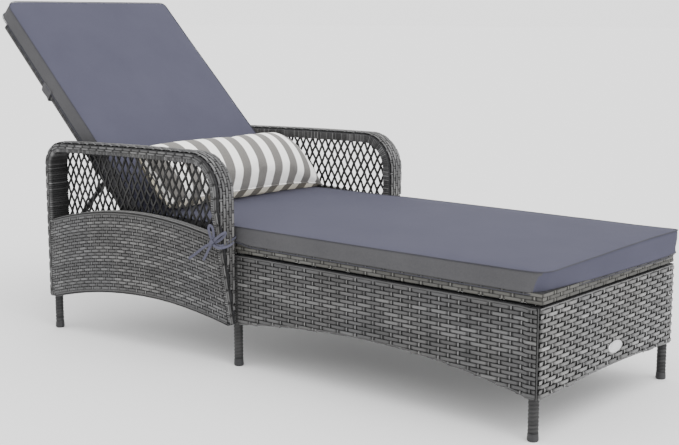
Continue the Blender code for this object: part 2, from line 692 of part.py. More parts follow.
def build_all():
    """Clear the scene and build every piece."""
    for old in list(bpy.data.objects):
        bpy.data.objects.remove(old, do_unlink=True)
    build_legs()
    build_side_panels()
    build_foot_panel()
    build_deck()
    build_rear_frame()
    build_hinge_brackets()
    build_arms()
    build_cushion("seat_cushion", FOOT_FACE_X - CUSHION_END_BEHIND, HINGE_X, DECK_Z[1] + GAP, None)

    back_pivot = add_empty("back_pivot", (HINGE_X, 0.0, HINGE_Z), turn=RECLINE)
    build_back(back_pivot)
    prop_pivot = add_empty("prop_pivot", (-PROP_AT, 0.0, 0.0), back_pivot, turn=-2.0 * RECLINE)
    build_prop(prop_pivot)
    pillow_rest = add_empty("pillow_rest", (-PILLOW_CENTRE[0], 0.0, PILLOW_CENTRE[1]), back_pivot)
    build_pillow(pillow_rest)
    bpy.context.view_layer.update()


build_all()
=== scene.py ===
"""Looks of the reclining sun lounger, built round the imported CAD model.

Frame as in the CAD: metres, +X to the foot end, +Y to the sitter's left, +Z up, floor at z = 0.
Every woven skin is made of single strands: wefts that run along a panel, over and under stakes.
"""
import json
import math
import random
from collections import namedtuple

import bmesh
import bpy
import numpy as np
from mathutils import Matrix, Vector
from mathutils.bvhtree import BVHTree


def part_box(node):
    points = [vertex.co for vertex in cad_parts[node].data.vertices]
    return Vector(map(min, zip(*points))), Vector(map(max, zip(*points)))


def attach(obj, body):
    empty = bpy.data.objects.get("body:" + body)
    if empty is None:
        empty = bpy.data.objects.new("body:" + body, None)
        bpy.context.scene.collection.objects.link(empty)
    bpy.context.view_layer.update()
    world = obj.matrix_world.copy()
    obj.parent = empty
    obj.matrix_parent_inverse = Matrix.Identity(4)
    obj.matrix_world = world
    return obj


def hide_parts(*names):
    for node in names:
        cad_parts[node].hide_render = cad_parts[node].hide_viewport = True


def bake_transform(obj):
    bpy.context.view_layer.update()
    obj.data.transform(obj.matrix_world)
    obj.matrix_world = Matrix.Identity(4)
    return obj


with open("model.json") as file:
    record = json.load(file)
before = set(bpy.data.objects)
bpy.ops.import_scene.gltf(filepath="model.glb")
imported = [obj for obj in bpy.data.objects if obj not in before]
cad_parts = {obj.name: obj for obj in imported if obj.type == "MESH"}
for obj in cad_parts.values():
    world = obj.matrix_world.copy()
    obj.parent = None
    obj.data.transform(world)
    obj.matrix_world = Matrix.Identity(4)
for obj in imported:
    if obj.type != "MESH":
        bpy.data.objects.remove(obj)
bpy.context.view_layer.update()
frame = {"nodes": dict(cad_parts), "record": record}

SIDES = (("right", -1.0), ("left", 1.0))
RECLINE = math.radians(44.0)

# ---- places read from the frame ---------------------------------------------------------------
HINGE = Vector(next(joint["pos_m"] for joint in frame["record"]["behaviour"]["joints"]
                    if joint["name"] == "back_hinge"))
FOOT_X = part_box("foot_end_panel")[1][0]
DECK_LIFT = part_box("seat_deck")[1][2] - HINGE.z
ARM_LOW, ARM_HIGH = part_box("arm_band_left")
ALONG_BACK = Vector((-math.cos(RECLINE), 0.0, math.sin(RECLINE)))
OFF_BACK = Vector((math.sin(RECLINE), 0.0, math.cos(RECLINE)))


def on_back(along, across, lift):
    """A point of the back at rest: distance up the back, across it, and above the hinge's plane."""
    return HINGE + float(along) * ALONG_BACK + Vector((0.0, across, 0.0)) + float(lift) * OFF_BACK


# ---- materials --------------------------------------------------------------------------------
class Look:
    """A material under way: its methods add nodes and give back their outputs."""

    def __init__(self, name):
        self.made = bpy.data.materials.new(name)
        self.made.use_nodes = True
        self.tree = self.made.node_tree
        self.shader = self.tree.nodes["Principled BSDF"]

    def put(self, socket, value):
        """Feed a socket from another socket, a number or an RGB colour."""
        if isinstance(value, bpy.types.NodeSocket):
            self.tree.links.new(value, socket)
        else:
            socket.default_value = (*value, 1.0) if isinstance(value, tuple) else value

    def node(self, kind, **values):
        """A node with its properties and its inputs' plain values set by name."""
        node = self.tree.nodes.new("ShaderNode" + kind)
        for key, value in values.items():
            if hasattr(node, key):
                setattr(node, key, value)
            else:
                node.inputs[key].default_value = value
        return node

    def attribute(self, name):
        return self.node("Attribute", attribute_name=name).outputs["Fac"]

    def math(self, operation, first, second=0.0):
        node = self.node("Math", operation=operation)
        self.put(node.inputs[0], first)
        self.put(node.inputs[1], second)
        return node.outputs[0]

    def add(self, first, second):
        return self.math("ADD", first, second)

    def times(self, first, second):
        return self.math("MULTIPLY", first, second)

    def mix(self, blend, factor, first, second):
        node = self.node("Mix", data_type="RGBA", blend_type=blend)
        for place, value in ((0, factor), (6, first), (7, second)):
            self.put(node.inputs[place], value)
        return node.outputs[2]

    def ramp(self, source, *stops):
        """A colour ramp over (place, colour) stops; a plain number stands for a grey."""
        node = self.node("ValToRGB")
        elements = node.color_ramp.elements
        while len(elements) > 1:
            elements.remove(elements[0])
        elements[0].position = stops[0][0]
        for number, (place, color) in enumerate(stops):
            element = elements.new(place) if number else elements[0]
            element.color = (*color, 1.0) if isinstance(color, tuple) else (color, color, color, 1.0)
        self.put(node.inputs["Fac"], source)
        return node.outputs["Color"]

    def noise(self, scale, detail=3.0, stretch=(1.0, 1.0, 1.0)):
        """Noise in the object's own metres, stretched along its axes."""
        mapping = self.node("Mapping", Scale=stretch)
        self.put(mapping.inputs["Vector"], self.node("TexCoord").outputs["Object"])
        noise = self.node("TexNoise", Scale=scale, Detail=detail, Roughness=0.6)
        self.put(noise.inputs["Vector"], mapping.outputs["Vector"])
        return noise.outputs["Fac"]

    def close(self, color, roughness, height, strength, distance=0.0005, **others):
        """Fill the shader's sockets, with bump from a height, and give back the material."""
        bump = self.node("Bump", Strength=strength, Distance=distance)
        self.put(bump.inputs["Height"], height)
        sockets = {"Base Color": color, "Roughness": roughness, "Normal": bump.outputs["Normal"], **others}
        for name, value in sockets.items():
            self.put(self.shader.inputs[name.replace("_", " ")], value)
        return self.made


def rattan(name, dark, middle, light):
    """Flat synthetic rattan: each strand has its own grey, with fine grooves along it, and painted shade
    where it dips and along its edges.
    """
    look = Look(name)
    tone, across, along = (look.attribute(label) for label in ("tone", "across", "along"))
    place = look.node("CombineXYZ")
    for socket, part, scale in zip(place.inputs, (along, across, tone), (9.0, 3.4, 50.0)):
        look.put(socket, look.times(part, scale))
    texture = look.node("TexNoise", Scale=1.0, Detail=3.0, Roughness=0.65)
    look.put(texture.inputs["Vector"], place.outputs[0])
    grooves = texture.outputs["Fac"]
    level = look.add(look.times(tone, 0.50), look.times(grooves, 0.34))
    level = look.add(level, look.times(look.noise(14.0, 2.0), 0.18))
    color = look.ramp(level, (0.18, dark), (0.50, middle), (0.85, light))
    # painted shade: strands are drawn darker where their rise is low, where they dip under others
    painted_dip_shade = look.ramp(look.attribute("rise"), (0.0, 0.10), (0.55, 0.50), (0.95, 1.0))
    # painted shade along both edges of each strand, standing for the shade in the gaps between strands
    edges = look.ramp(look.math("ABSOLUTE", across), (0.45, 1.0), (0.85, 0.50), (1.0, 0.06))
    for shade in (painted_dip_shade, edges):
        color = look.mix("MULTIPLY", 1.0, color, shade)
    warm = look.ramp(look.noise(5.0, 1.0), (0.42, 1.0), (0.62, (1.0, 0.95, 0.86)))
    return look.close(look.mix("MULTIPLY", 0.25, color, warm), look.add(look.times(grooves, 0.25), 0.36),
                      grooves, 0.35, 0.0006, Specular_IOR_Level=0.20)


def backing():
    """The shadowed core behind the strands: nearly black, a little rough."""
    look = Look("weave_core")
    color = look.ramp(look.noise(160.0), (0.3, grey(0.006, 0.001)), (0.7, grey(0.022, 0.002)))
    return look.close(color, 0.8, look.noise(700.0, 2.0), 0.3)


def steel(name, dark, light, metallic, roughness):
    """Powder coat or plated steel: orange peel and dull patches."""
    look = Look(name)
    patches = look.noise(30.0, 4.0)
    return look.close(look.ramp(patches, (0.35, dark), (0.7, light)),
                      look.add(look.times(patches, 0.2), roughness - 0.1),
                      look.noise(1400.0, 2.0), 0.12, 0.0003, Metallic=metallic)


def moulded(name, dark, light):
    """Moulded black plastic with a fine grain."""
    look = Look(name)
    return look.close(look.ramp(look.noise(60.0), (0.3, dark), (0.75, light)), 0.5,
                      look.noise(1800.0, 2.0), 0.25, 0.0003)


def cloth_weave(look, pitch):
    """Height of a plain weave from the object's coordinates, the same on every face."""
    parts = look.node("SeparateXYZ")
    look.put(parts.inputs[0], look.node("TexCoord").outputs["Object"])
    x, y, z = (look.math("SINE", look.times(part, 2.0 * math.pi / pitch)) for part in parts.outputs)
    return look.add(look.add(look.times(x, y), look.times(y, z)), look.times(x, z))


def fabric(name, dark, light, sheen):
    """Outdoor polyester: plain weave, slubs and faint clouding."""
    look = Look(name)
    slubs = look.noise(260.0, 4.0, (1.0, 3.0, 1.0))
    level = look.add(look.times(slubs, 0.55), look.times(look.noise(7.0), 0.45))
    height = look.add(look.times(cloth_weave(look, 0.0011), 0.4), look.times(slubs, 0.8))
    return look.close(look.ramp(level, (0.34, dark), (0.66, light)), 0.88, height, 0.22,
                      Sheen_Weight=sheen, Sheen_Roughness=0.5, Specular_IOR_Level=0.06)


STRIPE_PITCH = 0.0618      # one white and one grey stripe
STRIPE_START = 0.665       # share of a pitch at the pillow's middle


def striped_canvas():
    """White and warm grey stripes round the pillow, on a plain canvas weave, with painted warm bounce light
    on the rear face.
    """
    look = Look("pillow_canvas")
    wobble = look.times(look.noise(22.0, 2.0), 0.0012)
    turns = look.math("DIVIDE", look.add(look.attribute("along"), wobble), STRIPE_PITCH)
    stripe = look.ramp(look.math("FRACT", look.add(turns, STRIPE_START)),
                       (0.0, 1.0), (0.50, 1.0), (0.515, 0.0), (0.985, 0.0), (1.0, 1.0))
    slubs = look.noise(330.0, 3.0, (1.0, 3.0, 1.0))
    white = look.ramp(slubs, (0.3, (0.90, 0.89, 0.86)), (0.7, (0.97, 0.96, 0.93)))
    grey_stripe = look.ramp(slubs, (0.3, (0.135, 0.128, 0.120)), (0.7, (0.185, 0.178, 0.168)))
    # painted warm bounce light: the rear face is tinted cream
    color = look.mix("MULTIPLY", look.attribute("rear"), look.mix("MIX", stripe, white, grey_stripe),
                     (1.0, 0.94, 0.79))
    height = look.add(look.times(cloth_weave(look, 0.0016), 0.5), slubs)
    return look.close(color, 0.9, height, 0.25, Sheen_Weight=0.15, Specular_IOR_Level=0.15)


def grey(level, blue=0.0):
    """A grey whose blue may stand a little higher."""
    return (level, level, level + blue)


MATERIALS = {
    "wicker": rattan("rattan_grey", grey(0.022), grey(0.070, 0.001), grey(0.200, 0.001)),
    # lighter rattan for the foot end: partly a lighter grey, partly painted light where that end faces the
    # lamps
    "wicker_light": rattan("rattan_grey_light", grey(0.045, 0.001), grey(0.135, 0.001), grey(0.340, 0.001)),
    "wicker_warm": rattan("rattan_grey_warm", (0.024, 0.024, 0.022), (0.068, 0.067, 0.062),
                          (0.18, 0.178, 0.165)),
    "dark": rattan("rattan_dark", grey(0.008), grey(0.022, 0.0005), grey(0.070, 0.001)),
    "core": backing(),
    "steel": steel("black_powder_coat", grey(0.012, 0.001), grey(0.03, 0.002), 0.2, 0.5),
    "zinc": steel("zinc_plate", grey(0.42, 0.01), grey(0.62, 0.01), 1.0, 0.38),
    "silver": steel("satin_plate", grey(0.50, 0.01), grey(0.66, 0.01), 0.85, 0.34),
    "plastic": moulded("foot_plastic", grey(0.007, 0.001), grey(0.02, 0.002)),
    "cushion": fabric("cushion_cloth", grey(0.056, 0.024), grey(0.066, 0.027), 0.02),
    # grey cloth of the strap; on the cushion's long sides it is painted shade, the cover being one cloth
    "grey_cloth_and_side_shade": fabric("sleeve_cloth", (0.060, 0.0595, 0.063), (0.074, 0.0735, 0.077), 0.02),
    "piping": fabric("seam_cloth", grey(0.040, 0.010), grey(0.052, 0.012), 0.05),
    "ribbon": fabric("ribbon_cloth", grey(0.062, 0.026), grey(0.085, 0.031), 0.06),
    "pillow": striped_canvas(),
}


# ---- meshes and pieces ------------------------------------------------------------------------
def face_out(mesh, bm=None):
    """Turn every face outwards, on the way from a bmesh when one is given."""
    if bm is None:
        bm = bmesh.new()
        bm.from_mesh(mesh)
    bmesh.ops.recalc_face_normals(bm, faces=bm.faces)
    bm.to_mesh(mesh)
    bm.free()
    return mesh


def label_points(mesh, label, values):
    """Give each point of a mesh a number for its material."""
    attribute = mesh.attributes.get(label) or mesh.attributes.new(label, "FLOAT", "POINT")
    attribute.data.foreach_set("value", np.asarray(values, dtype=np.float32))


def points_of(mesh):
    return np.array([v.co for v in mesh.vertices])


def add_object(data, *materials):
    """Put a mesh, a camera or a light in the scene under its own name."""
    for material in materials:
        data.materials.append(MATERIALS[material])
    piece = bpy.data.objects.new(data.name, data)
    bpy.context.scene.collection.objects.link(piece)
    return piece


def register(piece, body, slot, *replaced):
    """Say which body a piece rides on (or the fold between two) and what it stands for; slot is not used."""
    if body == "fold":
        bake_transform(piece)
    else:
        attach(piece, body)
    if replaced:
        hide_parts(*replaced)


def unit(vectors):
    """Rows scaled to length one."""
    vectors = np.asarray(vectors, float)
    return vectors / np.maximum(np.linalg.norm(vectors, axis=-1, keepdims=True), 1e-12)


def heading(path):
    """Unit direction of a path at each of its points."""
    return unit(np.gradient(path, axis=0))


def side_of(out, direction):
    """Unit vectors across a strand, from its outward normals and its direction."""
    return unit(np.cross(out, unit(direction)))


def run_of(path):
    """Distance along a path at each of its points."""
    return np.concatenate(([0.0], np.cumsum(np.linalg.norm(np.diff(path, axis=0), axis=1))))


def rows_of(vector, like):
    """The same vector for every point of a path."""
    return np.tile(np.array(vector), (len(like), 1))


def flat_profile(width, thickness):
    """Cross-section of a flat strand, slightly crowned, as (across, out) points."""
    w, t = width / 2.0, thickness / 2.0
    return np.array([(-w, -0.6 * t), (-0.93 * w, 0.25 * t), (-0.4 * w, t), (0.4 * w, t),
                     (0.93 * w, 0.25 * t), (w, -0.6 * t)])


def round_profile(radius, sides=8):
    """Cross-section of a round strand."""
    angles = [2.0 * math.pi * (i + 0.5) / sides for i in range(sides)]
    return np.array([(radius * math.cos(a), radius * math.sin(a)) for a in angles])


class Strands:
    """Collects swept strands into one mesh, each strand with its own tone."""

    def __init__(self, seed):
        self.dice = random.Random(seed)
        self.points, self.faces, self.total = [], [], 0
        self.shading = {"tone": [], "along": [], "across": [], "rise": []}

    def tube(self, cloud, closed=False, **shading):
        """Add rings of points as a tube, with numbers for their material."""
        n, m = cloud.shape[:2]
        index = (self.total + np.arange(n * m).reshape(n, m)).tolist()
        for i in range(n if closed else n - 1):
            a, b = index[i], index[(i + 1) % n]
            self.faces += [(a[j], a[(j + 1) % m], b[(j + 1) % m], b[j]) for j in range(m)]
        if not closed:
            self.faces += [tuple(index[0][::-1]), tuple(index[-1])]
        self.points.append(cloud.reshape(-1, 3))
        for label, values in shading.items():
            self.shading[label].append(np.broadcast_to(values, (n, m)).reshape(-1))
        self.total += n * m

    def sweep(self, path, out, profile, tone, side=None, closed=False, rise=1.0):
        """Sweep a profile along a path; out and side are unit vectors; tone gives each point its grey and
        rise its painted shade, darker where low.
        """
        if len(path) < 2:
            return
        side = side_of(out, np.gradient(path, axis=0)) if side is None else side
        cloud = (path[:, None, :] + profile[None, :, 0:1] * side[:, None, :]
                 + profile[None, :, 1:2] * out[:, None, :])
        self.tube(cloud, closed, tone=np.reshape(tone, (-1, 1)), rise=np.reshape(rise, (-1, 1)),
                  along=(run_of(path) + 10.0 * self.dice.random())[:, None],
                  across=profile[:, 0] / np.abs(profile[:, 0]).max())

    def woven(self, points, normals, side, amplitude, swing, wave, width, tone, run=slice(None)):
        """A flat strand that rises and dips with a wave over a weave's surface."""
        path = points + normals * (lift_for(amplitude) + swing * amplitude * wave)[:, None]
        # rise follows the wave, so the strand gets painted shade where it dips
        self.sweep(path[run], normals[run], flat_profile(width, STRAND_T),
                   np.broadcast_to(tone, len(path))[run], side=side[run], rise=(0.5 + 0.5 * wave)[run])

    def mesh(self, name):
        """The strands as one mesh with smooth shading."""
        mesh = bpy.data.meshes.new(name)
        mesh.from_pydata(np.concatenate(self.points).tolist(), [], self.faces)
        for label, chunks in self.shading.items():
            if chunks:
                label_points(mesh, label, np.concatenate(chunks))
        face_out(mesh).shade_smooth()
        return mesh

    def build(self, name, material, body, slot, *replaced):
        """Turn the strands into a piece that rides on a body."""
        mesh = self.mesh(name)
        mesh.set_sharp_from_angle(angle=math.radians(50.0))
        register(add_object(mesh, material), body, slot, *replaced)


# ---- weaving ----------------------------------------------------------------------------------
# a surface to weave on: place(u, v) gives points and normals, limits(u) the ends of v
Skin = namedtuple("Skin", "place limits span")

AMPLITUDE = 0.0010         # how far a strand rises and dips
STRAND_T = 0.0014          # thickness of a flat strand
WEFT_SAMPLES = 8           # points on a weft from one stake to the next
AHEAD = 0.001              # a small step, to find a strand's direction
STAKE_PITCH = 0.0258       # from stake to stake on the sides, the deck and the back


def lift_for(amplitude):
    """How far a weave's middle stands off its slab."""
    return 0.8 * amplitude + 0.5 * STRAND_T + 0.0003


def plateau(phase, sharp=3.2):
    """A wave that stays high and dips only where a strand dives under another, once per two pi."""
    turn = (phase / (2.0 * np.pi)) % 1.0
    return 1.0 - 2.0 * np.clip(1.0 - np.abs(turn - 0.5) * sharp * 2.0, 0.0, 1.0) ** 0.7


def nod(turns):
    """The stakes' wave: up and down in turn, with flat tops."""
    return np.clip(-1.6 * np.cos(math.pi * turns), -1.0, 1.0)


def brick_shades(dice, turns, rebase=True):
    """A random shade for each point of a weft, the same from one dip to the next."""
    brick = np.floor(turns + 0.5).astype(int)
    brick -= brick.min() if rebase else 0
    return np.array([dice.random() for _ in range(brick.max() + 1)])[brick]


def weave(strands, skin, pitch, rows, width, stake_width=0.0052, fan=True, inset=0.004,
          amplitude=AMPLITUDE, sharp=3.0):
    """Fill a skin with wefts and stakes. fan spreads the rows between both edges; else they are level."""
    wide = skin.span[1] - skin.span[0]
    count = int(wide / pitch)
    u0 = skin.span[0] + (wide - (count - 1) * pitch) / 2.0
    low_all, high_all = skin.limits(np.linspace(*skin.span, 60))
    bottom, top = float(low_all.min()), float(high_all.max())
    dice = strands.dice

    def row_at(u, share):
        low, high = skin.limits(u) if fan else (np.full_like(u, bottom), np.full_like(u, top))
        return low + inset + (high - low - 2.0 * inset) * share

    u = np.linspace(*skin.span, WEFT_SAMPLES * max(3, int(round(wide / pitch))) + 1)
    low, high = skin.limits(u)
    for row in range(rows):
        share = (row + 0.5) / rows
        v = row_at(u, share)
        wave = plateau(math.pi * ((u - u0) / pitch + row), sharp)
        points, normals = skin.place(u, v)
        side = side_of(normals, skin.place(u + AHEAD, row_at(u + AHEAD, share))[0] - points)
        tone = 0.16 + 0.34 * dice.random()
        tone = tone + 0.34 * brick_shades(dice, (u - u0) / (2.0 * pitch) + row / 2.0)
        inside = (v > low + inset * 0.6) & (v < high - inset * 0.3)
        changes = np.flatnonzero(np.diff(np.concatenate(([0], inside, [0]))))
        for run in (slice(a, b) for a, b in zip(changes[::2], changes[1::2])):
            strands.woven(points, normals, side, amplitude, 1.0, wave, width, tone, run)
    for i in range(count):
        low, high = (float(a[0]) for a in skin.limits(np.array([u0 + i * pitch])))
        if high - low < 3.0 * inset:
            continue
        v = np.linspace(low + inset * 0.5, high - inset * 0.5, 6 * rows + 1)
        u = np.full_like(v, u0 + i * pitch)
        first, last = row_at(u, 0.0), row_at(u, 1.0)
        wave = nod((v - first) / (last - first) * rows - 0.5 + i)
        points, normals = skin.place(u, v)
        strands.woven(points, normals, side_of(normals, skin.place(u, v + AHEAD)[0] - points), amplitude,
                      0.75, wave, stake_width, 0.45 + 0.5 * dice.random())


def wound(strands, path, radius, pitch, ridge, tone=None):
    """A tube wound with a strand: close ridges along the path, each turn leaning a little."""
    sides, per_turn = 14, 5
    path = np.asarray(path, float)
    reach = run_of(path)
    s = np.linspace(0.0, reach[-1], max(2, int(reach[-1] / pitch)) * per_turn + 1)
    centre = np.stack([np.interp(s, reach, path[:, k]) for k in range(3)], axis=1)
    tangent = heading(centre)
    helper = np.array((0.0, 1.0, 0.0) if abs(tangent[:, 1]).max() < 0.8 else (0.0, 0.0, 1.0))
    side = unit(np.cross(tangent, helper))
    up = unit(np.cross(side, tangent))
    turn = strands.dice.random()
    angles = 2.0 * np.pi * np.arange(sides) / sides
    phase = (s[:, None] / pitch + angles[None, :] / (2.0 * np.pi) + turn) % 1.0
    rise = np.sqrt(np.clip(1.0 - (2.0 * phase - 1.0) ** 2, 0.0, 1.0))
    lift = radius - ridge + ridge * rise
    cloud = (centre[:, None, :] + (lift * np.cos(angles))[:, :, None] * side[:, None, :]
             + (lift * np.sin(angles))[:, :, None] * up[:, None, :])
    turns = np.floor(s / pitch).astype(int)
    shade = np.array([strands.dice.random() for _ in range(turns.max() + 1)])[turns]
    shade = shade if tone is None else tone * 0.7 + 0.3 * shade
    # rise paints shade into the grooves between the turns
    strands.tube(cloud, tone=shade[:, None], rise=rise, along=angles * radius,
                 across=(0.85 * (2.0 * ((s / pitch) % 1.0) - 1.0))[:, None])


def edge_limits(places, low, high, trim=0.0):
    """limits(u) of a skin between two edges, each trimmed a little."""
    return lambda u: (np.interp(u, places, low) + trim, np.interp(u, places, high) - trim)


def node_edges(node, axis):
    """Lower and upper edge of a panel node: sorted places along an axis with lowest and highest z."""
    mesh = frame["nodes"][node].data
    points = points_of(mesh)
    ends = points[np.array([tuple(e.vertices) for e in mesh.edges])]
    first, last = ends[:, 0], ends[:, 1]
    places = np.array(sorted(set(np.round(points[:, axis], 4))))
    low, high = [], []
    for place in places:
        at = min(max(place, places[0] + 1e-5), places[-1] - 1e-5)
        run = last[:, axis] - first[:, axis]
        crosses = (first[:, axis] - at) * (last[:, axis] - at) <= 0.0
        crosses &= np.abs(run) > 1e-9
        part = (at - first[crosses, axis]) / run[crosses]
        z = first[crosses, 2] + (last[crosses, 2] - first[crosses, 2]) * part
        low.append(z.min())
        high.append(z.max())
    return places, np.array(low), np.array(high)


def upright_skin(axis, face, way, limits, span, posts=(), swell=0.0):
    """An upright flat skin along X or Y (axis 0 or 1), facing way, which may swell over posts."""
    def place(u, v):
        points, normals = np.zeros((len(u), 3)), np.zeros((len(u), 3))
        out = np.zeros(len(u))
        for post in posts:
            out = np.maximum(out, swell * np.clip(1.9 - np.abs(u - post) / 0.0135, 0.0, 1.0))
        points[:, axis], points[:, 1 - axis], points[:, 2] = u, face + way * out, v
        normals[:, 1 - axis] = way
        return points, normals
    return Skin(place, limits, span)


def panel_skin(node, axis, face, way, stretch, **swelling):
    """The outer face of an upright panel, which may run on past its ends."""
    places, low, high = node_edges(node, axis)
    return upright_skin(axis, face, way, edge_limits(places, low, high),
                        (places[0] - stretch[0], places[-1] + stretch[1]), **swelling)


def edge_strands(strands, skin, upper, lower):
    """Strands along a panel's edges that cover the ends of the weave, each (width, lift, inset)."""
    u = np.linspace(skin.span[0] + 0.002, skin.span[1] - 0.002, 90)
    low, high = skin.limits(u)
    for edge, way, (width, lift, inset) in ((high, -1.0, upper), (low, 1.0, lower)):
        points, normals = skin.place(u, edge + way * inset)
        wave = 0.0003 * np.sin(u * 260.0)
        strands.sweep(points + normals * (lift + wave)[:, None], normals, flat_profile(width, 0.0018), 0.35,
                      side=side_of(normals, np.gradient(points, axis=0)))


# ---- base -------------------------------------------------------------------------------------
def corner_bead(strands, x, y, z0, z1):
    """A round, dark upright strand that closes a corner."""
    z = np.linspace(z0, z1, 24)
    path = np.stack([np.full(24, x), np.full(24, y), z], axis=1)
    out = rows_of((math.sqrt(0.5), math.copysign(math.sqrt(0.5), y), 0.0), path)
    strands.sweep(path, out, round_profile(0.0021), 0.12)


def build_base():
    """Woven skins of the base: both sides, the foot end, the deck's edge and the corner posts."""
    leg_low, leg_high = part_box("leg_foot_left")
    post = (leg_low[0] + leg_high[0]) / 2.0
    for side_name, side in SIDES:
        node = "side_panel_" + side_name
        low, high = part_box(node)
        face = high[1] if side > 0 else low[1]
        skin = panel_skin(node, 0, face, side, (0.0, FOOT_X - 0.0015 - high[0]), posts=(post,),
                          swell=leg_high[1] + 0.0026 - abs(face))
        strands = Strands(11 + int(side))
        weave(strands, skin, STAKE_PITCH, 20, width=0.0083, stake_width=0.0042, fan=False,
              inset=0.0035, amplitude=0.0014)
        edge_strands(strands, skin, (0.0050, 0.0024, 0.0027), (0.0055, 0.0024, 0.0030))
        corner_bead(strands, FOOT_X - 0.0008, side * (leg_high[1] + 0.0018), low[2] - 0.0005, high[2])
        strands.build("side_weave_" + side_name, "wicker", "base", "wicker")

    reach = leg_high[1] + 0.0004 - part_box("foot_end_panel")[1][1]
    skin = panel_skin("foot_end_panel", 1, FOOT_X, 1.0, (reach, reach - 0.003))
    strands = Strands(21)
    weave(strands, skin, 0.0262, 19, width=0.0086, stake_width=0.0046, fan=False, inset=0.0035,
          amplitude=0.0023, sharp=1.9)
    edge_strands(strands, skin, (0.0045, 0.0026, 0.0025), (0.0055, 0.0026, 0.0030))
    # the foot end's lighter rattan is partly a lighter grey and partly painted light of the lit end
    strands.build("foot_end_weave", "wicker_light", "base", "wicker")

    low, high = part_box("seat_deck")
    strands = Strands(31)
    for axis, face, way in ((0, high[1], 1.0), (0, low[1], -1.0), (1, high[0], 1.0)):
        limits = edge_limits((0.0, 1.0), (low[2],) * 2, (high[2],) * 2, 0.0005)
        skin = upright_skin(axis, face, way, limits, (low[axis] - 0.0018, high[axis] + 0.0018))
        weave(strands, skin, STAKE_PITCH, 3, width=0.0080, inset=0.0006)
    strands.build("deck_edge_weave", "wicker_warm", "base", "wicker")


def build_badge():
    """The blank oval plate on the foot end, domed inside a raised rim."""
    low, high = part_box("badge_plate")
    (_, y, z), (_, half_y, half_z) = (np.array(low) + high) / 2.0, (np.array(high) - low) / 2.0
    rings = ((1.0, 0.0040), (1.0, 0.0058), (0.97, 0.0064), (0.91, 0.0064), (0.87, 0.0058),
             (0.60, 0.0064), (0.30, 0.0067))
    angles = 2.0 * math.pi * np.arange(48) / 48
    strands = Strands(0)
    strands.tube(np.array([[(FOOT_X + out, y + half_y * scale * math.cos(a), z + half_z * scale * math.sin(a))
                            for a in angles] for scale, out in rings]))
    mesh = strands.mesh("oval_plate")
    mesh.set_sharp_from_angle(angle=math.radians(60.0))
    register(add_object(mesh, "silver"), "base", "plate_silver", "badge_plate")


def build_legs():
    """Wound strands on the six legs."""
    for place in ("foot", "mid", "rear"):
        for side_name, _ in SIDES:
            node = "leg_" + place + "_" + side_name
            low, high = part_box(node)
            x, y = (low[0] + high[0]) / 2.0, (low[1] + high[1]) / 2.0
            strands = Strands(sum(map(ord, node)))
            wound(strands, [(x, y, low[2] + 0.0005), (x, y, high[2] - 0.0002)],
                  (high[0] - low[0]) / 2.0 + 0.0012, 0.0085, 0.0018, tone=0.70)
            strands.build("wound_" + node, "dark", "base", "wicker_dark")


# ---- arms -------------------------------------------------------------------------------------
ARM_FRONT_R = 0.095
ARM_REAR_R = 0.062
BAND_T = 0.021             # thickness of the arched band
BAND_PITCH = 0.0165        # from one cross strand to the next
TOP_REAR_Z = ARM_HIGH[2] - 0.0105
TOP_FRONT_Z = ARM_HIGH[2] - 0.0005
REAR_C = (ARM_LOW[0] + ARM_REAR_R, TOP_REAR_Z - ARM_REAR_R)
FRONT_C = (ARM_HIGH[0] - ARM_FRONT_R, TOP_FRONT_Z - ARM_FRONT_R)
TAPER_Z = (0.110, 0.400)   # heights between which the arm's front leans inwards
TAPER_OUT_Y = 0.3085


def arm_top(part):
    """Height of the armrest from its rear bend (0) to its front bend (1)."""
    bow = 0.002 * math.sin(math.pi * min(max(part, 0.0), 1.0))
    return TOP_REAR_Z + (TOP_FRONT_Z - TOP_REAR_Z) * part + bow


def arm_line(inset, z_rear, z_front):
    """The arm's outline in X and Z from the rear foot to the front foot, moved inwards by inset."""
    def bend(centre, radius, degrees):
        angle, reach = math.radians(degrees), radius - inset
        return (centre[0] + reach * math.cos(angle), centre[1] + reach * math.sin(angle))

    points = [(ARM_LOW[0] + inset, z_rear + (REAR_C[1] - z_rear) * i / 12.0) for i in range(12)]
    points += [bend(REAR_C, ARM_REAR_R, 180.0 - 88.0 * i / 14.0) for i in range(15)]
    points += [(REAR_C[0] + (FRONT_C[0] - REAR_C[0]) * i / 20.0, arm_top(i / 20.0) - inset)
               for i in range(1, 20)]
    points += [bend(FRONT_C, ARM_FRONT_R, 90.0 - 90.0 * i / 14.0) for i in range(15)]
    points += [(ARM_HIGH[0] - inset, FRONT_C[1] + (z_front - FRONT_C[1]) * (i + 1) / 16.0)
               for i in range(16)]
    return np.array(points)


def arm_out_y(x, z):
    """Outer side of the band at a place on its outline."""
    part = np.clip((z - TAPER_Z[0]) / (TAPER_Z[1] - TAPER_Z[0]), 0.0, 1.0)
    front = TAPER_OUT_Y + (ARM_HIGH[1] - TAPER_OUT_Y) * part
    return np.where(x > ARM_HIGH[0] - ARM_FRONT_R, front, ARM_HIGH[1])


def arm_track(inset=0.0, raised=0.0):
    """Length of the band's outline, and x, z and heading in x and z at a distance along it."""
    line = arm_line(inset, ARM_LOW[2] + raised, ARM_LOW[2] + 0.017 + raised)
    reach, columns = run_of(line), np.hstack([line, heading(line)]).T
    return reach[-1], lambda u: [np.interp(u, reach, column) for column in columns]


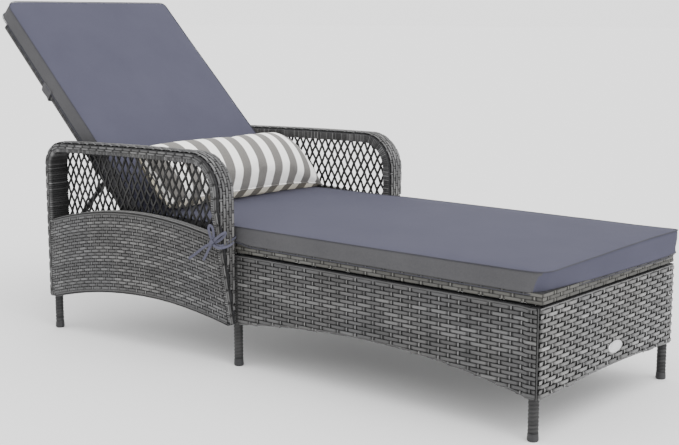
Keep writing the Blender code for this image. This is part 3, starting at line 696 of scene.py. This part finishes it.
def band_weave(strands, side, rows=5, amplitude=0.0015):
    """Long strands over the band's outside, over and under short cross strands."""
    length, at = arm_track()
    inner, outer = ARM_LOW[1] + 0.0045, ARM_HIGH[1] - 0.0045
    wide = (outer - inner) / rows
    count = int(length / BAND_PITCH)
    dice = strands.dice

    def place(u, y):
        x, z, tx, tz = at(u)
        normals = unit(np.stack([-tz, np.zeros_like(x), tx], axis=1))
        crown = 0.0020 * (1.0 - ((y - inner) / (outer - inner) * 2.0 - 1.0) ** 2)
        return np.stack([x, side * y, z], axis=1) + normals * crown[:, None], normals, arm_out_y(x, z)

    for row in range(rows):
        u = np.linspace(0.001, length - 0.001, WEFT_SAMPLES * count + 1)
        y = np.full_like(u, inner + (row + 0.5) * wide)
        points, normals, edge = place(u, y)
        wave = plateau(math.pi * (u / BAND_PITCH + row))
        fits = y < edge - 0.0022
        last = len(u) if fits.all() else int(np.argmin(fits))
        shades = brick_shades(dice, u / (2.0 * BAND_PITCH) + row / 2.0, rebase=False)
        tone = 0.35 + 0.3 * dice.random() + 0.35 * shades
        strands.woven(points, normals, side_of(normals, np.gradient(points, axis=0)), amplitude, 1.0,
                      wave, wide * 0.86, tone, slice(last))
    for i in range(count):
        u_i = i * BAND_PITCH
        edge = min(float(arm_out_y(*at(u_i)[:2])) - 0.0030, outer)
        if edge - inner < wide:
            continue
        y = np.linspace(inner, edge, 4 * rows + 1)
        points, normals, _ = place(np.full_like(y, u_i), y)
        strands.woven(points, normals, side_of(normals, np.gradient(points, axis=0)), amplitude, 0.75,
                      nod((y - inner) / wide - 0.5 + i), 0.0052, 0.35 + 0.5 * dice.random())


def band_ribs(strands, side, pitch=0.0058, proud=0.0011):
    """Close ribs wound round the band's two edges and its inside."""
    length, at = arm_track()
    for i in range(int(length / pitch)):
        x, z, tx, tz = at((i + 0.5) * pitch)
        y_out, y_in = float(arm_out_y(x, z)), ARM_LOW[1]
        turn = min(0.004, 0.3 * (y_out - y_in))
        deep = BAND_T + proud
        # each stop: depth under the band's outside, y, quarter turns of the outward direction
        stops = ((0.0120, y_out + proud * 0.5, 0.0), (0.0140, y_out + proud + 0.0002, 0.0),
                 (BAND_T - 0.005, y_out + proud + 0.0002, 0.0), (BAND_T - 0.0005, y_out + proud * 0.6, 0.5),
                 (deep, y_out - turn, 1.0), (deep, (y_out + y_in) / 2.0, 1.0), (deep, y_in + turn, 1.0),
                 (BAND_T - 0.0005, y_in - proud * 0.6, 1.5), (BAND_T - 0.005, y_in - proud - 0.0002, 2.0),
                 (0.0050, y_in - proud - 0.0002, 2.0), (0.0015, y_in - proud * 0.7, 2.0))
        path = np.array([(x + tz * depth, side * y, z - tx * depth) for depth, y, _ in stops])
        angles = [turned * math.pi / 2.0 for _, _, turned in stops]
        out = [(tz * math.sin(a), side * math.cos(a), -tx * math.sin(a)) for a in angles]
        # painted shade: the stops across the band's inside get a low rise, so that face is drawn darker
        rise = np.array([1.0 - 0.55 * float(turned == 1.0) for _, _, turned in stops])
        strands.sweep(path, unit(out), flat_profile(0.0048, STRAND_T), 0.15 + 0.7 * strands.dice.random(),
                      side=rows_of((tx, 0.0, tz), path), rise=rise)


def build_band(side_name, side):
    """The arm's arched band: woven outside, ribbed inside, two woven strands along the outer side."""
    strands = Strands(41 + int(side))
    band_weave(strands, side)
    strands.build("arm_band_weave_" + side_name, "wicker", "base", "wicker")

    strands = Strands(51 + int(side))
    band_ribs(strands, side)
    for row, depth in ((1.0, 0.0034), (2.0, 0.0094)):
        length, at = arm_track(depth, 0.001)
        u = np.linspace(0.0, length, WEFT_SAMPLES * int(length / BAND_PITCH) + 1)
        x, z = at(u)[:2]
        wave = plateau(math.pi * (u / BAND_PITCH + row))
        shades = brick_shades(strands.dice, u / (2.0 * BAND_PITCH) + row / 2.0, rebase=False)
        # rise follows the wave, so these strands get painted shade where they dip
        path = np.stack([x, side * (arm_out_y(x, z) + 0.0011 + 0.0012 * wave), z], axis=1)
        strands.sweep(path, rows_of((0.0, side, 0.0), path), flat_profile(0.0058, 0.0022),
                      0.25 + 0.5 * shades, rise=0.5 + 0.5 * wave)
    strands.build("arm_edges_" + side_name, "wicker", "base", "wicker")


def ray_tree(node):
    """The faces of a CAD node, to send rays at."""
    mesh = frame["nodes"][node].data
    return BVHTree.FromPolygons([v.co.copy() for v in mesh.vertices],
                                [tuple(p.vertices) for p in mesh.polygons])


def build_arm_panel(side_name, side):
    """The arm's woven side, whose rows fan between its two arches."""
    tree = ray_tree("arm_panel_" + side_name)
    places, low, high = node_edges("arm_panel_" + side_name, 0)
    low_x, high_x = places[0], places[-1]
    span = (low_x + 0.001, high_x - 0.001)

    for way, label in ((side, "outer"), (-side, "inner")):
        def place(u, v, way=way):
            points, normals = np.zeros((len(u), 3)), np.zeros((len(u), 3))
            for i, (x, z) in enumerate(zip(u, v)):
                start = Vector((min(max(x, low_x + 5e-4), high_x - 5e-4), way * 0.6 + side * 0.33, z))
                hit = tree.ray_cast(start, Vector((0.0, -way, 0.0)))
                if hit[0] is None:
                    hit = tree.find_nearest(start)
                points[i] = x, hit[0].y, z
                normals[i] = hit[1]
            normals[:, 2] *= 0.5
            return points, unit(normals)

        skin = Skin(place, edge_limits(places, low, high, 0.0002), span)
        strands = Strands(61 + int(side) + (100 if label == "inner" else 0))
        weave(strands, skin, 0.0170, 24, width=0.0074, stake_width=0.0040, inset=0.0050, amplitude=0.0014)
        edge_strands(strands, skin, *[(0.0050, 0.0026, 0.0030)] * 2)
        strands.build("arm_side_weave_" + label + "_" + side_name, "wicker", "base", "wicker")

    strands = Strands(71 + int(side))
    u = np.linspace(*span, 60)
    for edge, way in ((high, 1.0), (low, -1.0)):
        v = np.interp(u, places, edge)
        hits = [tree.ray_cast(Vector((x, side * 0.6, z - 0.004 * way)), Vector((0.0, -side, 0.0)))[0]
                for x, z in zip(u, v)]
        y_face = np.array([0.35 if hit is None else abs(hit[1]) for hit in hits])
        for depth in (0.0008, 0.0066, 0.0124, 0.0176):
            path = np.stack([u, side * (y_face - depth), v + way * 0.0012], axis=1)
            across = rows_of((0.0, 1.0, 0.0), path)
            out = unit(np.cross(heading(path), across))
            out *= way * np.sign(out[:, 2:3])
            strands.sweep(path, out, round_profile(0.0028), 0.55 + 0.4 * strands.dice.random(), side=across)
    strands.build("arm_side_rims_" + side_name, "wicker", "base", "wicker")


LATTICE_WIDE = 0.0245      # width and height of one diamond
LATTICE_TALL = 0.0450


def build_lattice(side_name, side):
    """Diamond lattice: two families of slanted strands that pass over and under each other."""
    node = "arm_lattice_" + side_name
    low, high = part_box(node)
    y_mid = (low[1] + high[1]) / 2.0
    inset = BAND_T - 0.004
    xs = arm_line(inset, low[2] - 0.02, low[2] - 0.02)[:, 0]
    floor_z = low[2] - 0.012

    def inside(x, z):
        if z < floor_z or not xs.min() < x < xs.max():
            return False
        for (cx, cz), radius, way in ((REAR_C, ARM_REAR_R, -1.0), (FRONT_C, ARM_FRONT_R, 1.0)):
            if (x - cx) * way > 0.0 and z > cz:
                return math.hypot(x - cx, z - cz) < radius - inset
        return z < arm_top((x - REAR_C[0]) / (FRONT_C[0] - REAR_C[0])) - inset

    slope = LATTICE_TALL / LATTICE_WIDE
    strands = Strands(81 + int(side))
    reach = (TOP_FRONT_Z - floor_z) / slope
    first = int((xs.min() - reach) / LATTICE_WIDE) - 1
    last = int((xs.max() + reach) / LATTICE_WIDE) + 1
    for family in (1.0, -1.0):
        for k in range(first, last + 1):
            x0 = k * LATTICE_WIDE + strands.dice.uniform(-0.0006, 0.0006)
            lean = slope * (1.0 + strands.dice.uniform(-0.012, 0.012))
            path = []
            z = floor_z
            while z < ARM_HIGH[2]:
                x = x0 + family * (z - floor_z) / lean
                if inside(x, z):
                    over = math.cos(2.0 * math.pi * (z - floor_z) / LATTICE_TALL + math.pi * k)
                    bow = 0.0005 * math.sin(9.0 * z / LATTICE_TALL + k)
                    path.append((x + bow, y_mid + family * 0.0011 * over, z))
                elif path:
                    break
                z += LATTICE_TALL / 8.0
            if len(path) >= 3:
                strands.sweep(np.array(path), rows_of((0.0, side, 0.0), path),
                              round_profile(0.0031, 6) * np.array((1.1, 0.8)),
                              0.1 + 0.5 * strands.dice.random())
    strands.build("diamond_lattice_" + side_name, "dark", "base", "wicker_dark", node)


# ---- back -------------------------------------------------------------------------------------
BACK_LENGTH = 0.769
RAIL_R = 0.0135
RAIL_Y = 0.2825


def build_back():
    """The back's wound frame and the weave on its rear face."""
    strands = Strands(91)
    ups = [[on_back(s, side * RAIL_Y, 0.0) for s in np.linspace(0.012, BACK_LENGTH, 40)]
           for side in (-1.0, 1.0)]
    reach = RAIL_Y - 0.012
    top = [on_back(BACK_LENGTH - RAIL_R, y, 0.0) for y in np.linspace(-reach, reach, 40)]
    for path in (*ups, top):
        wound(strands, path, RAIL_R + 0.0003, 0.0066, 0.0013)
    # painted shade: the frame's winding uses the dark rattan for the shade it stands in; it is grey wicker
    # like the back
    strands.build("back_frame_winding", "dark", "back", "wicker")

    half = RAIL_Y - RAIL_R - 0.0003
    under = 0.016 - 0.0055 + 0.0030

    def place(u, v):
        points = (np.array(HINGE)[None, :] + v[:, None] * np.array(ALONG_BACK)
                  + u[:, None] * np.array((0.0, 1.0, 0.0)) + under * np.array(OFF_BACK))
        return points, rows_of(-OFF_BACK, u)

    upper = BACK_LENGTH - 2.0 * RAIL_R - 0.001
    skin = Skin(place, edge_limits((0.0, 1.0), (0.004, 0.004), (upper, upper)), (-half, half))
    strands = Strands(92)
    weave(strands, skin, STAKE_PITCH, 80, width=0.0080, inset=0.002, amplitude=0.0012)
    strands.build("back_rear_weave", "wicker", "back", "wicker")


# ---- cushions ---------------------------------------------------------------------------------
def grid_box(columns, rows, layers, shape):
    """A closed box of quads. shape(a, b, c) places a point for a, b, c from 0 to 1."""
    bm = bmesh.new()
    made = {}

    def quad(flip, *keys):
        for key in keys:
            if key not in made:
                made[key] = bm.verts.new(shape(key[0] / columns, key[1] / rows, key[2] / layers))
        bm.faces.new([made[key] for key in (keys[::-1] if flip else keys)])

    for i in range(columns):
        for j in range(rows):
            for k in (0, layers):
                quad(k == 0, (i, j, k), (i + 1, j, k), (i + 1, j + 1, k), (i, j + 1, k))
    for k in range(layers):
        for i in range(columns):
            for j in (0, rows):
                quad(j == rows, (i, j, k), (i + 1, j, k), (i + 1, j, k + 1), (i, j, k + 1))
        for j in range(rows):
            for i in (0, columns):
                quad(i == 0, (i, j, k), (i, j + 1, k), (i, j + 1, k + 1), (i, j, k + 1))
    bm.verts.index_update()
    return bm, {key: vert.index for key, vert in made.items()}


def edge_loop(columns, rows):
    """Grid places round the edge of a sheet, in order."""
    loop = [(i, 0) for i in range(columns)] + [(columns, j) for j in range(rows)]
    return loop + [(i, rows) for i in range(columns, 0, -1)] + [(0, j) for j in range(rows, 0, -1)]


def simulate(piece, pressure, cap, frames, stiffness):
    """Puff a piece as cloth, hold each point within cap of its start, and keep the result."""
    scene = bpy.context.scene
    start = points_of(piece.data)
    cloth = piece.modifiers.new("Cloth", "CLOTH")
    for name, value in (("quality", 5), ("mass", 0.25), ("tension_stiffness", stiffness),
                        ("compression_stiffness", stiffness), ("shear_stiffness", stiffness * 0.5),
                        ("bending_stiffness", 0.6), ("use_pressure", True),
                        ("uniform_pressure_force", pressure)):
        setattr(cloth.settings, name, value)
    cloth.settings.effector_weights.gravity = 0.0
    cloth.collision_settings.use_collision = False
    cloth.point_cache.frame_start, cloth.point_cache.frame_end = 1, frames
    for number in range(1, frames + 1):
        scene.frame_set(number)
    shift = points_of(piece.evaluated_get(bpy.context.evaluated_depsgraph_get()).data) - start
    piece.modifiers.remove(cloth)
    scene.frame_set(1)
    reach = np.linalg.norm(shift, axis=1, keepdims=True)
    shift *= np.minimum(1.0, cap / np.maximum(reach, 1e-9))
    piece.data.vertices.foreach_set("co", (start + shift).ravel())
    piece.data.update()


def refine(piece):
    """Smooth a piece by one subdivision and keep the result."""
    piece.data.shade_smooth()
    smoother = piece.modifiers.new("Smooth", "SUBSURF")
    smoother.levels = smoother.render_levels = 1
    mesh = bpy.data.meshes.new_from_object(piece.evaluated_get(bpy.context.evaluated_depsgraph_get()))
    piece.modifiers.clear()
    piece.data = mesh


def seam(name, loop, out, radius, material, body, slot, squared=True):
    """A round sewn edge along a closed loop; squared turns out upright to the loop first."""
    strands = Strands(101)
    direction = unit(np.roll(loop, -1, axis=0) - np.roll(loop, 1, axis=0))
    out = rows_of(out, loop)
    side = unit(np.cross(out, direction))
    out = unit(np.cross(direction, side)) if squared else out
    strands.sweep(loop, out, round_profile(radius), 0.5, side=side, closed=True)
    mesh = strands.mesh(name)
    label_points(mesh, "along", points_of(mesh)[:, 1])
    register(add_object(mesh, material), body, slot)


FOLD_R = 0.050             # radius of the fold, on the side that lies on the frame
KNEE = FOLD_R * math.tan(RECLINE / 2.0)
FINE_STEPS = (0.0, 0.004, 0.011, 0.022)


def fold_place(along, across, lift):
    """A point of the folded cushion: along is negative towards the foot, positive up the back."""
    start_x, flat_z = HINGE.x + KNEE, HINGE.z + DECK_LIFT
    if along <= 0.0:
        return Vector((start_x - along, across, flat_z + lift))
    centre = Vector((start_x, across, flat_z + FOLD_R))
    angle = min(along / FOLD_R, RECLINE)
    reach = FOLD_R - lift
    point = centre + Vector((-math.sin(angle) * reach, 0.0, -math.cos(angle) * reach))
    return point + max(0.0, along - FOLD_R * RECLINE) * ALONG_BACK


def spread(middle, first, last):
    """Places from first to last: fine steps at both ends and even ones between."""
    inside = np.linspace(first + FINE_STEPS[-1], last - FINE_STEPS[-1], middle)
    return np.concatenate(([first + e for e in FINE_STEPS[:-1]], inside,
                           [last - e for e in FINE_STEPS[:-1]][::-1]))


def build_cushion():
    """One long boxed cushion, folded over the hinge, with seams along its edges."""
    low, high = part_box("seat_cushion")
    thick, half = high[2] - low[2], high[1]
    seat_length = high[0] - HINGE.x - KNEE
    back_length = 0.805 - KNEE + FOLD_R * RECLINE
    arms_end = -(ARM_HIGH[0] - HINGE.x - KNEE) - 0.012
    alongs, acrosses = spread(132, -seat_length, back_length), spread(38, -half, half) / half
    columns, rows, layers = len(alongs) - 1, len(acrosses) - 1, 5

    def shape(a, b, c):
        along, part = float(alongs[int(round(a * columns))]), float(acrosses[int(round(b * rows))])
        across = half * part
        near_end = (0.5 - 0.5 * part) ** 2 * max(0.0, 1.0 - (along + seat_length) / 0.10)
        far_corner = max(0.0, (part - 0.8) / 0.2) * max(0.0, 1.0 - (along + seat_length) / 0.05)
        # rounded corners, wider on the near side
        corner = 0.036 if part < 0.0 else 0.018
        end, edge = min(along + seat_length, back_length - along), half - abs(across)
        if end < corner and edge < corner:
            dx, dy = corner - end, corner - edge
            scale = max(dx, dy) / max(math.hypot(dx, dy), 1e-9)
            along += (dx - dx * scale) * (1.0 if along < 0.0 else -1.0)
            across = math.copysign(half - corner + dy * scale, across)
        along += 0.024 * (1.0 - c) * near_end
        # the part past the arms is a little wider on the far side
        free = min(1.0, max(0.0, (arms_end - along) / 0.05))
        if part > 0.0:
            across += (0.003 + 0.0065 * free) * part ** 3
        else:
            across -= 0.0012 * abs(part) ** 3
        if abs(part) > 0.999:
            across += math.copysign(0.0016 * math.sin(math.pi * c), across)
        # the top is crowned, highest on the far side, and flat up the back
        share = 0.5 + 0.5 * part
        blend = share * share * (3.0 - 2.0 * share)
        middle = math.sin(math.pi * min(1.0, max(0.0, (along + seat_length) / seat_length)))
        near_dip = -0.0030 - 0.0030 * middle
        rise = near_dip + (0.0065 - near_dip) * blend + 0.0030 * (1.0 - part ** 4)
        if along > 0.0:
            rise *= max(0.0, 1.0 - along / 0.10)
        lift = 0.0006 + (thick - 0.0012) * c + rise * c
        # the lower rim hangs a little over the deck's edge
        if c < 0.5 and free > 0.0 and min(edge, end) < 0.0035:
            lift -= 0.0065 * (1.0 - 2.0 * c) * min(1.0, free * 1.5) * (1.0 - far_corner)
            along += 0.005 * far_corner * (1.0 - 2.0 * c)
            across -= 0.005 * far_corner * (1.0 - 2.0 * c)
        return fold_place(along, across, lift)

    bm, index = grid_box(columns, rows, layers, shape)
    top, bottom = ([index[(i, j, k)] for i, j in edge_loop(columns, rows)] for k in (layers, 0))
    underside = [index[(i, j, 0)] for i in range(columns + 1) for j in range(rows + 1)]
    mesh = face_out(bpy.data.meshes.new("folded_cushion"), bm)
    piece = add_object(mesh, "cushion", "grey_cloth_and_side_shade")
    # painted shade: the long sides take the greyer, less blue cloth of a shaded side
    for face in mesh.polygons:
        face.material_index = int(abs(face.normal.y) > 0.7)
    before = points_of(mesh)
    simulate(piece, pressure=1.6, cap=0.0035, frames=14, stiffness=30.0)
    for number in underside:
        mesh.vertices[number].co = before[number]
    points = points_of(mesh)
    refine(piece)
    register(piece, "fold", "cushion_fabric", "seat_cushion", "back_cushion")
    for name, ids, radius in (("cushion_seam_top", top, 0.0013), ("cushion_seam_bottom", bottom, 0.0012)):
        seam(name, points[ids], (0.02, 0.03, 1.0), radius, "piping", "fold", "cushion_fabric")


PILLOW_ACROSS = 0.2835     # half the width and half the height of the sewn cover
PILLOW_TALL = 0.1080
PILLOW_THICK = 0.072
SEAM_RISE = 0.014          # how far the lower seam has turned up


def build_pillow():
    """The striped lumbar pillow: two sewn faces, filled by a cloth simulation."""
    low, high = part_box("lumbar_pillow")
    centre = Vector(((low[0] + high[0]) / 2.0, 0.0, (low[2] + high[2]) / 2.0))
    columns, rows = 72, 34

    def shape(a, b, c):
        across = PILLOW_ACROSS * (2.0 * a - 1.0) * (1.055 - (0.125 if a > 0.5 else 0.03) * b)
        tall = PILLOW_TALL * (2.0 * b - 1.0) - 0.008 * b * b
        bulge = (1.0 - abs(2.0 * a - 1.0) ** 4.5) ** 0.6 * (1.0 - (2.0 * b - 1.0) ** 2) ** 0.68
        lift = (2.0 * c - 1.0) * (0.0015 + PILLOW_THICK * bulge)
        return centre + Vector((0.0, across, 0.0)) + tall * ALONG_BACK + lift * OFF_BACK

    bm, index = grid_box(columns, rows, 1, shape)
    front, rear = ([index[(i, j, k)] for i, j in edge_loop(columns, rows)] for k in (1, 0))
    rises = [SEAM_RISE * (1.0 - 0.85 * max(0.0, 2.0 * i / columns - 1.0) ** 3) for i in range(columns + 1)]
    raised = [(index[(i, j, 1)], rises[i] * (1.0 - j / rows) ** 8)
              for i in range(columns + 1) for j in range(rows // 2)]
    raised += [(index[(i, 0, 0)], rises[i]) for i in range(columns + 1)]
    mesh = face_out(bpy.data.meshes.new("striped_pillow"), bm)
    label_points(mesh, "along", [v.co.y for v in mesh.vertices])
    # rear marks the face that gets the painted warm bounce light
    label_points(mesh, "rear", [float((v.co - centre).dot(OFF_BACK) < -0.001) for v in mesh.vertices])
    piece = add_object(mesh, "pillow")
    simulate(piece, pressure=5.0, cap=0.010, frames=20, stiffness=18.0)
    fit_pillow(mesh)
    for number, rise in raised:
        mesh.vertices[number].co += Vector((0.25 * rise, 0.0, rise))
    points = points_of(mesh)
    refine(piece)
    register(piece, "pillow", "pillow_fabric", "lumbar_pillow")
    seam("pillow_seam", (points[front] + points[rear]) / 2.0, OFF_BACK, 0.0019, "pillow", "pillow",
         "pillow_fabric", squared=False)


def fit_pillow(mesh):
    """Keep the filled pillow off the cushion it leans on and off the seat."""
    lean = DECK_LIFT + 0.0475
    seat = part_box("seat_cushion")[1][2] + 0.0045
    for vertex in mesh.vertices:
        offset = (vertex.co - HINGE).dot(OFF_BACK) - lean
        if offset < 0.0:
            vertex.co -= offset * OFF_BACK
        vertex.co.z = max(vertex.co.z, seat)


# ---- ribbons and strap ------------------------------------------------------------------------
def smooth_path(points, per_span=8):
    """A Catmull-Rom curve through the points."""
    points = [Vector(p) for p in points]
    points = [points[0] * 2.0 - points[1]] + points + [points[-1] * 2.0 - points[-2]]
    out = []
    for i in range(1, len(points) - 2):
        a, b, c, d = points[i - 1:i + 3]
        for t in (k / per_span for k in range(per_span)):
            out.append(0.5 * ((2.0 * b) + (c - a) * t + (2.0 * a - 5.0 * b + 4.0 * c - d) * t * t
                              + (3.0 * b - a - 3.0 * c + d) * t * t * t))
    out.append(points[-2])
    return np.array(out)


def tape(strands, path, face, width, thickness=0.0011):
    """A flat ribbon along a path, its flat side turned towards face."""
    direction = heading(path)
    out = np.broadcast_to(np.asarray(face, float), path.shape)
    out = unit(out - direction * (out * direction).sum(axis=1, keepdims=True))
    strands.sweep(path, out, flat_profile(width, thickness), 0.5)


# the bow's two loops and two tails, each point as (towards the foot, outwards, up) from the knot
BOW = (((0.0, 0.001, 0.0), (-0.004, 0.005, 0.018), (-0.007, 0.007, 0.036), (-0.003, 0.006, 0.043),
        (0.003, 0.003, 0.036), (0.004, 0.001, 0.016), (0.001, 0.0, 0.0)),
       ((0.0, 0.001, 0.0), (0.018, 0.006, 0.013), (0.038, 0.007, 0.026), (0.049, 0.005, 0.031),
        (0.043, 0.003, 0.022), (0.021, 0.001, 0.007), (0.001, 0.0, 0.0)),
       ((0.0, 0.002, 0.0), (-0.028, 0.004, -0.014), (-0.058, 0.002, -0.033), (-0.086, 0.001, -0.050)),
       ((0.0, 0.002, -0.001), (-0.010, 0.005, -0.017), (-0.022, 0.003, -0.033), (-0.034, 0.001, -0.047)))
BOW_KNOT = ((0.005, 0.005, 0.006), (0.001, 0.008, 0.001), (-0.005, 0.005, -0.006))


def build_tie(side_name, side):
    """The cushion's ribbon, tied in a bow round the arm's front post."""
    low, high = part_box("cushion_tie_" + side_name)
    bow_low, bow_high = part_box("tie_bow_" + side_name)
    y_out, y_in = max(abs(low[1]), abs(high[1])), min(abs(low[1]), abs(high[1]))
    x0, x1, z = low[0], high[0], (low[2] + high[2]) / 2.0
    y_mid = (y_in + y_out) / 2.0
    knot_x, knot_y = (bow_low[0] + bow_high[0]) / 2.0 - 0.010, y_out + 0.0030
    knot_z = (bow_low[2] + bow_high[2]) / 2.0 - 0.0065
    tree = ray_tree("arm_panel_" + side_name)
    strands = Strands(121 + int(side))
    ring = [(knot_x + 0.002, knot_y - 0.001, knot_z), (knot_x + 0.012, y_out + 0.0018, knot_z - 0.005),
            (x1 - 0.006, y_out + 0.0014, knot_z - 0.006), (x1 + 0.0022, y_out - 0.004, knot_z - 0.006),
            (x1 + 0.0030, y_mid, knot_z + 0.001), (x1 + 0.0024, y_in + 0.002, z - 0.014),
            (x1 - 0.004, y_in - 0.0012, z - 0.010), (x0 + 0.006, y_in - 0.0012, z - 0.005),
            (x0 - 0.0030, y_in + 0.003, z - 0.002), (x0 - 0.0034, y_mid, z - 0.002),
            (x0 - 0.0030, y_out - 0.002, z - 0.004), (knot_x - 0.001, y_out + 0.0040, z - 0.010),
            (knot_x, knot_y, knot_z + 0.002)]
    path = smooth_path([(x, side * y, h) for x, y, h in ring], 5)
    away = path - np.array(((x0 + x1) / 2.0, side * y_mid, z))
    away[:, 2] = 0.0
    tape(strands, path, away, 0.0075)
    reach = 1.0 if side < 0.0 else 0.35
    face = (0.30, side, 0.12)

    def at(dx, dy, dz):
        """A place from the knot, kept in front of the arm's woven side."""
        x, y, height = knot_x + (dx * reach if dx > 0.0 else dx), knot_y + dy, knot_z + dz
        hit = tree.ray_cast(Vector((x, side * 0.6, height)), Vector((0.0, -side, 0.0)))[0]
        return (x, side * max(y, 0.0 if hit is None else abs(hit[1]) + 0.0058), height)

    for bends in BOW:
        tape(strands, smooth_path([at(*bend) for bend in bends]), face, 0.0068)
    if side < 0.0:
        tail = [(knot_x, knot_y + 0.003, -0.002), (knot_x + 0.014, knot_y + 0.004, -0.008),
                (x1 + 0.002, y_out + 0.004, -0.010), (x1 + 0.010, y_out - 0.010, -0.008),
                (x1 + 0.011, y_out - 0.024, -0.004), (x1 + 0.008, y_out - 0.036, -0.001)]
        tape(strands, smooth_path([(x, side * y, knot_z + dz) for x, y, dz in tail]), face, 0.0066)
    tape(strands, smooth_path([at(*bend) for bend in BOW_KNOT]), face, 0.011, 0.0024)
    strands.build("ribbon_tie_" + side_name, "ribbon", "base", "cushion_fabric",
                  "cushion_tie_" + side_name, "tie_bow_" + side_name)


STRAP_ALONG = (0.491, 0.533)   # where the strap lies up the back
STRAP_EDGE = 0.2975            # half its span across
STRAP_T = 0.0014


def build_strap():
    """The sleeve strap round the back of the frame."""
    turns = [(0.017, 0.0), (0.002, 0.001), (-0.0145, -0.004), (-0.0170, -0.016)]
    outline = [(-STRAP_EDGE - more, lift) for lift, more in turns]
    outline += [(y, -0.0168 + 0.0012 * math.cos(math.pi * y / 0.56)) for y in np.linspace(-0.25, 0.25, 13)]
    outline += [(STRAP_EDGE + more, lift) for lift, more in turns[::-1]]
    rows, last = 10, len(outline) - 1
    bm = bmesh.new()

    def vert(i, j, skin):
        y, lift = outline[i]
        away = Vector((0.0, math.copysign(1.0, y) * (abs(y) > 0.285), -1.0 * (lift < -0.01)))
        away = away.normalized() if away.length > 0 else Vector((0.0, 0.0, -1.0))
        ruck = 0.0006 * math.sin(9.0 * j / rows + i * 0.7)
        hem = 0.0007 if j in (0, 1, rows - 1, rows) else 0.0
        d = skin + (ruck + hem if skin else 0.0)
        along = STRAP_ALONG[0] + (STRAP_ALONG[1] - STRAP_ALONG[0]) * j / rows
        return bm.verts.new(on_back(along, y + away.y * d, lift + away.z * d))

    inner, outer = ([[vert(i, j, skin) for j in range(rows + 1)] for i in range(last + 1)]
                    for skin in (0.0, STRAP_T))
    for i in range(last):
        for j in range(rows):
            bm.faces.new((outer[i][j], outer[i + 1][j], outer[i + 1][j + 1], outer[i][j + 1]))
            bm.faces.new((inner[i][j + 1], inner[i + 1][j + 1], inner[i + 1][j], inner[i][j]))
        for j in (0, rows):
            bm.faces.new((inner[i][j], inner[i + 1][j], outer[i + 1][j], outer[i][j]))
    for i in (0, last):
        for j in range(rows):
            bm.faces.new((inner[i][j], inner[i][j + 1], outer[i][j + 1], outer[i][j]))
    mesh = face_out(bpy.data.meshes.new("sleeve_strap"), bm)
    mesh.shade_smooth()
    register(add_object(mesh, "grey_cloth_and_side_shade"), "back", "strap_fabric", "back_strap")


# ---- carried-over CAD nodes -------------------------------------------------------------------
FINISHES = (
    (("side_panel", "foot_end_panel", "seat_deck", "arm_band", "arm_panel", "back_woven", "back_rail",
      "back_cross_top", "back_cross_middle", "leg_"), "core"),
    (("deck_cross", "side_rail", "rear_cross", "rack_", "hinge_bracket", "back_cross_bottom",
      "prop_arm", "prop_bar"), "steel"),
    (("arm_bolt", "back_pivot_bolt", "prop_bolt"), "zinc"),
    (("cap_", "bumper"), "plastic"),
    (("badge_plate",), "silver"),
)


def dress_nodes():
    """Give every CAD node that stays its finished material."""
    for name, node in frame["nodes"].items():
        for starts, finish in FINISHES:
            if name.startswith(starts):
                if not node.material_slots:
                    node.data.materials.append(None)
                for place in node.material_slots:
                    place.material = MATERIALS[finish]


# ---- camera, lights and floor -----------------------------------------------------------------
CAMERA_FROM_FOOT = 1.2461  # how far the camera stands beyond the foot end
CAMERA_DIP = 9.5564        # degrees below level, and degrees round from straight ahead
CAMERA_TURN = 40.533
SUNS = (("key", (0.37, -0.10, 0.93), 1.45, 50.0), ("foot_side", (0.96, -0.22, 0.20), 1.25, 45.0))


def build_stage():
    """A three-quarter camera, a plain pale floor and soft studio light."""
    data = bpy.data.cameras.new("camera")
    data.sensor_width, data.lens, data.clip_end = 36.0, 64.89, 400.0
    camera = add_object(data)
    camera.location = (FOOT_X + CAMERA_FROM_FOOT, -2.3712, 0.8582)
    camera.rotation_euler = (math.radians(90.0 - CAMERA_DIP), 0.0, math.radians(CAMERA_TURN))
    bpy.context.scene.camera = camera

    bm = bmesh.new()
    bmesh.ops.create_grid(bm, x_segments=1, y_segments=1, size=90.0)
    mesh = bpy.data.meshes.new("floor")
    bm.to_mesh(mesh)
    bm.free()
    pale = Look("floor_paint")
    pale.put(pale.shader.inputs["Base Color"], (0.81, 0.81, 0.81))
    pale.put(pale.shader.inputs["Roughness"], 0.9)
    mesh.materials.append(pale.made)
    add_object(mesh)

    world = bpy.data.worlds.new("studio")
    world.use_nodes = True
    background = world.node_tree.nodes["Background"]
    background.inputs["Color"].default_value = (1.0, 1.0, 1.0, 1.0)
    background.inputs["Strength"].default_value = 1.95
    bpy.context.scene.world = world

    for name, towards, power, spread_angle in SUNS:
        light = bpy.data.lights.new(name, "SUN")
        light.energy, light.angle = power, math.radians(spread_angle)
        lamp = add_object(light)
        lamp.location = 4.0 * Vector(towards)
        lamp.rotation_euler = Vector(towards).to_track_quat("Z", "Y").to_euler()


build_stage()
build_base()
build_badge()
build_legs()
for arm_name, arm_side in SIDES:
    build_band(arm_name, arm_side)
    build_arm_panel(arm_name, arm_side)
    build_lattice(arm_name, arm_side)
    build_tie(arm_name, arm_side)
build_back()
build_cushion()
build_pillow()
build_strap()
dress_nodes()
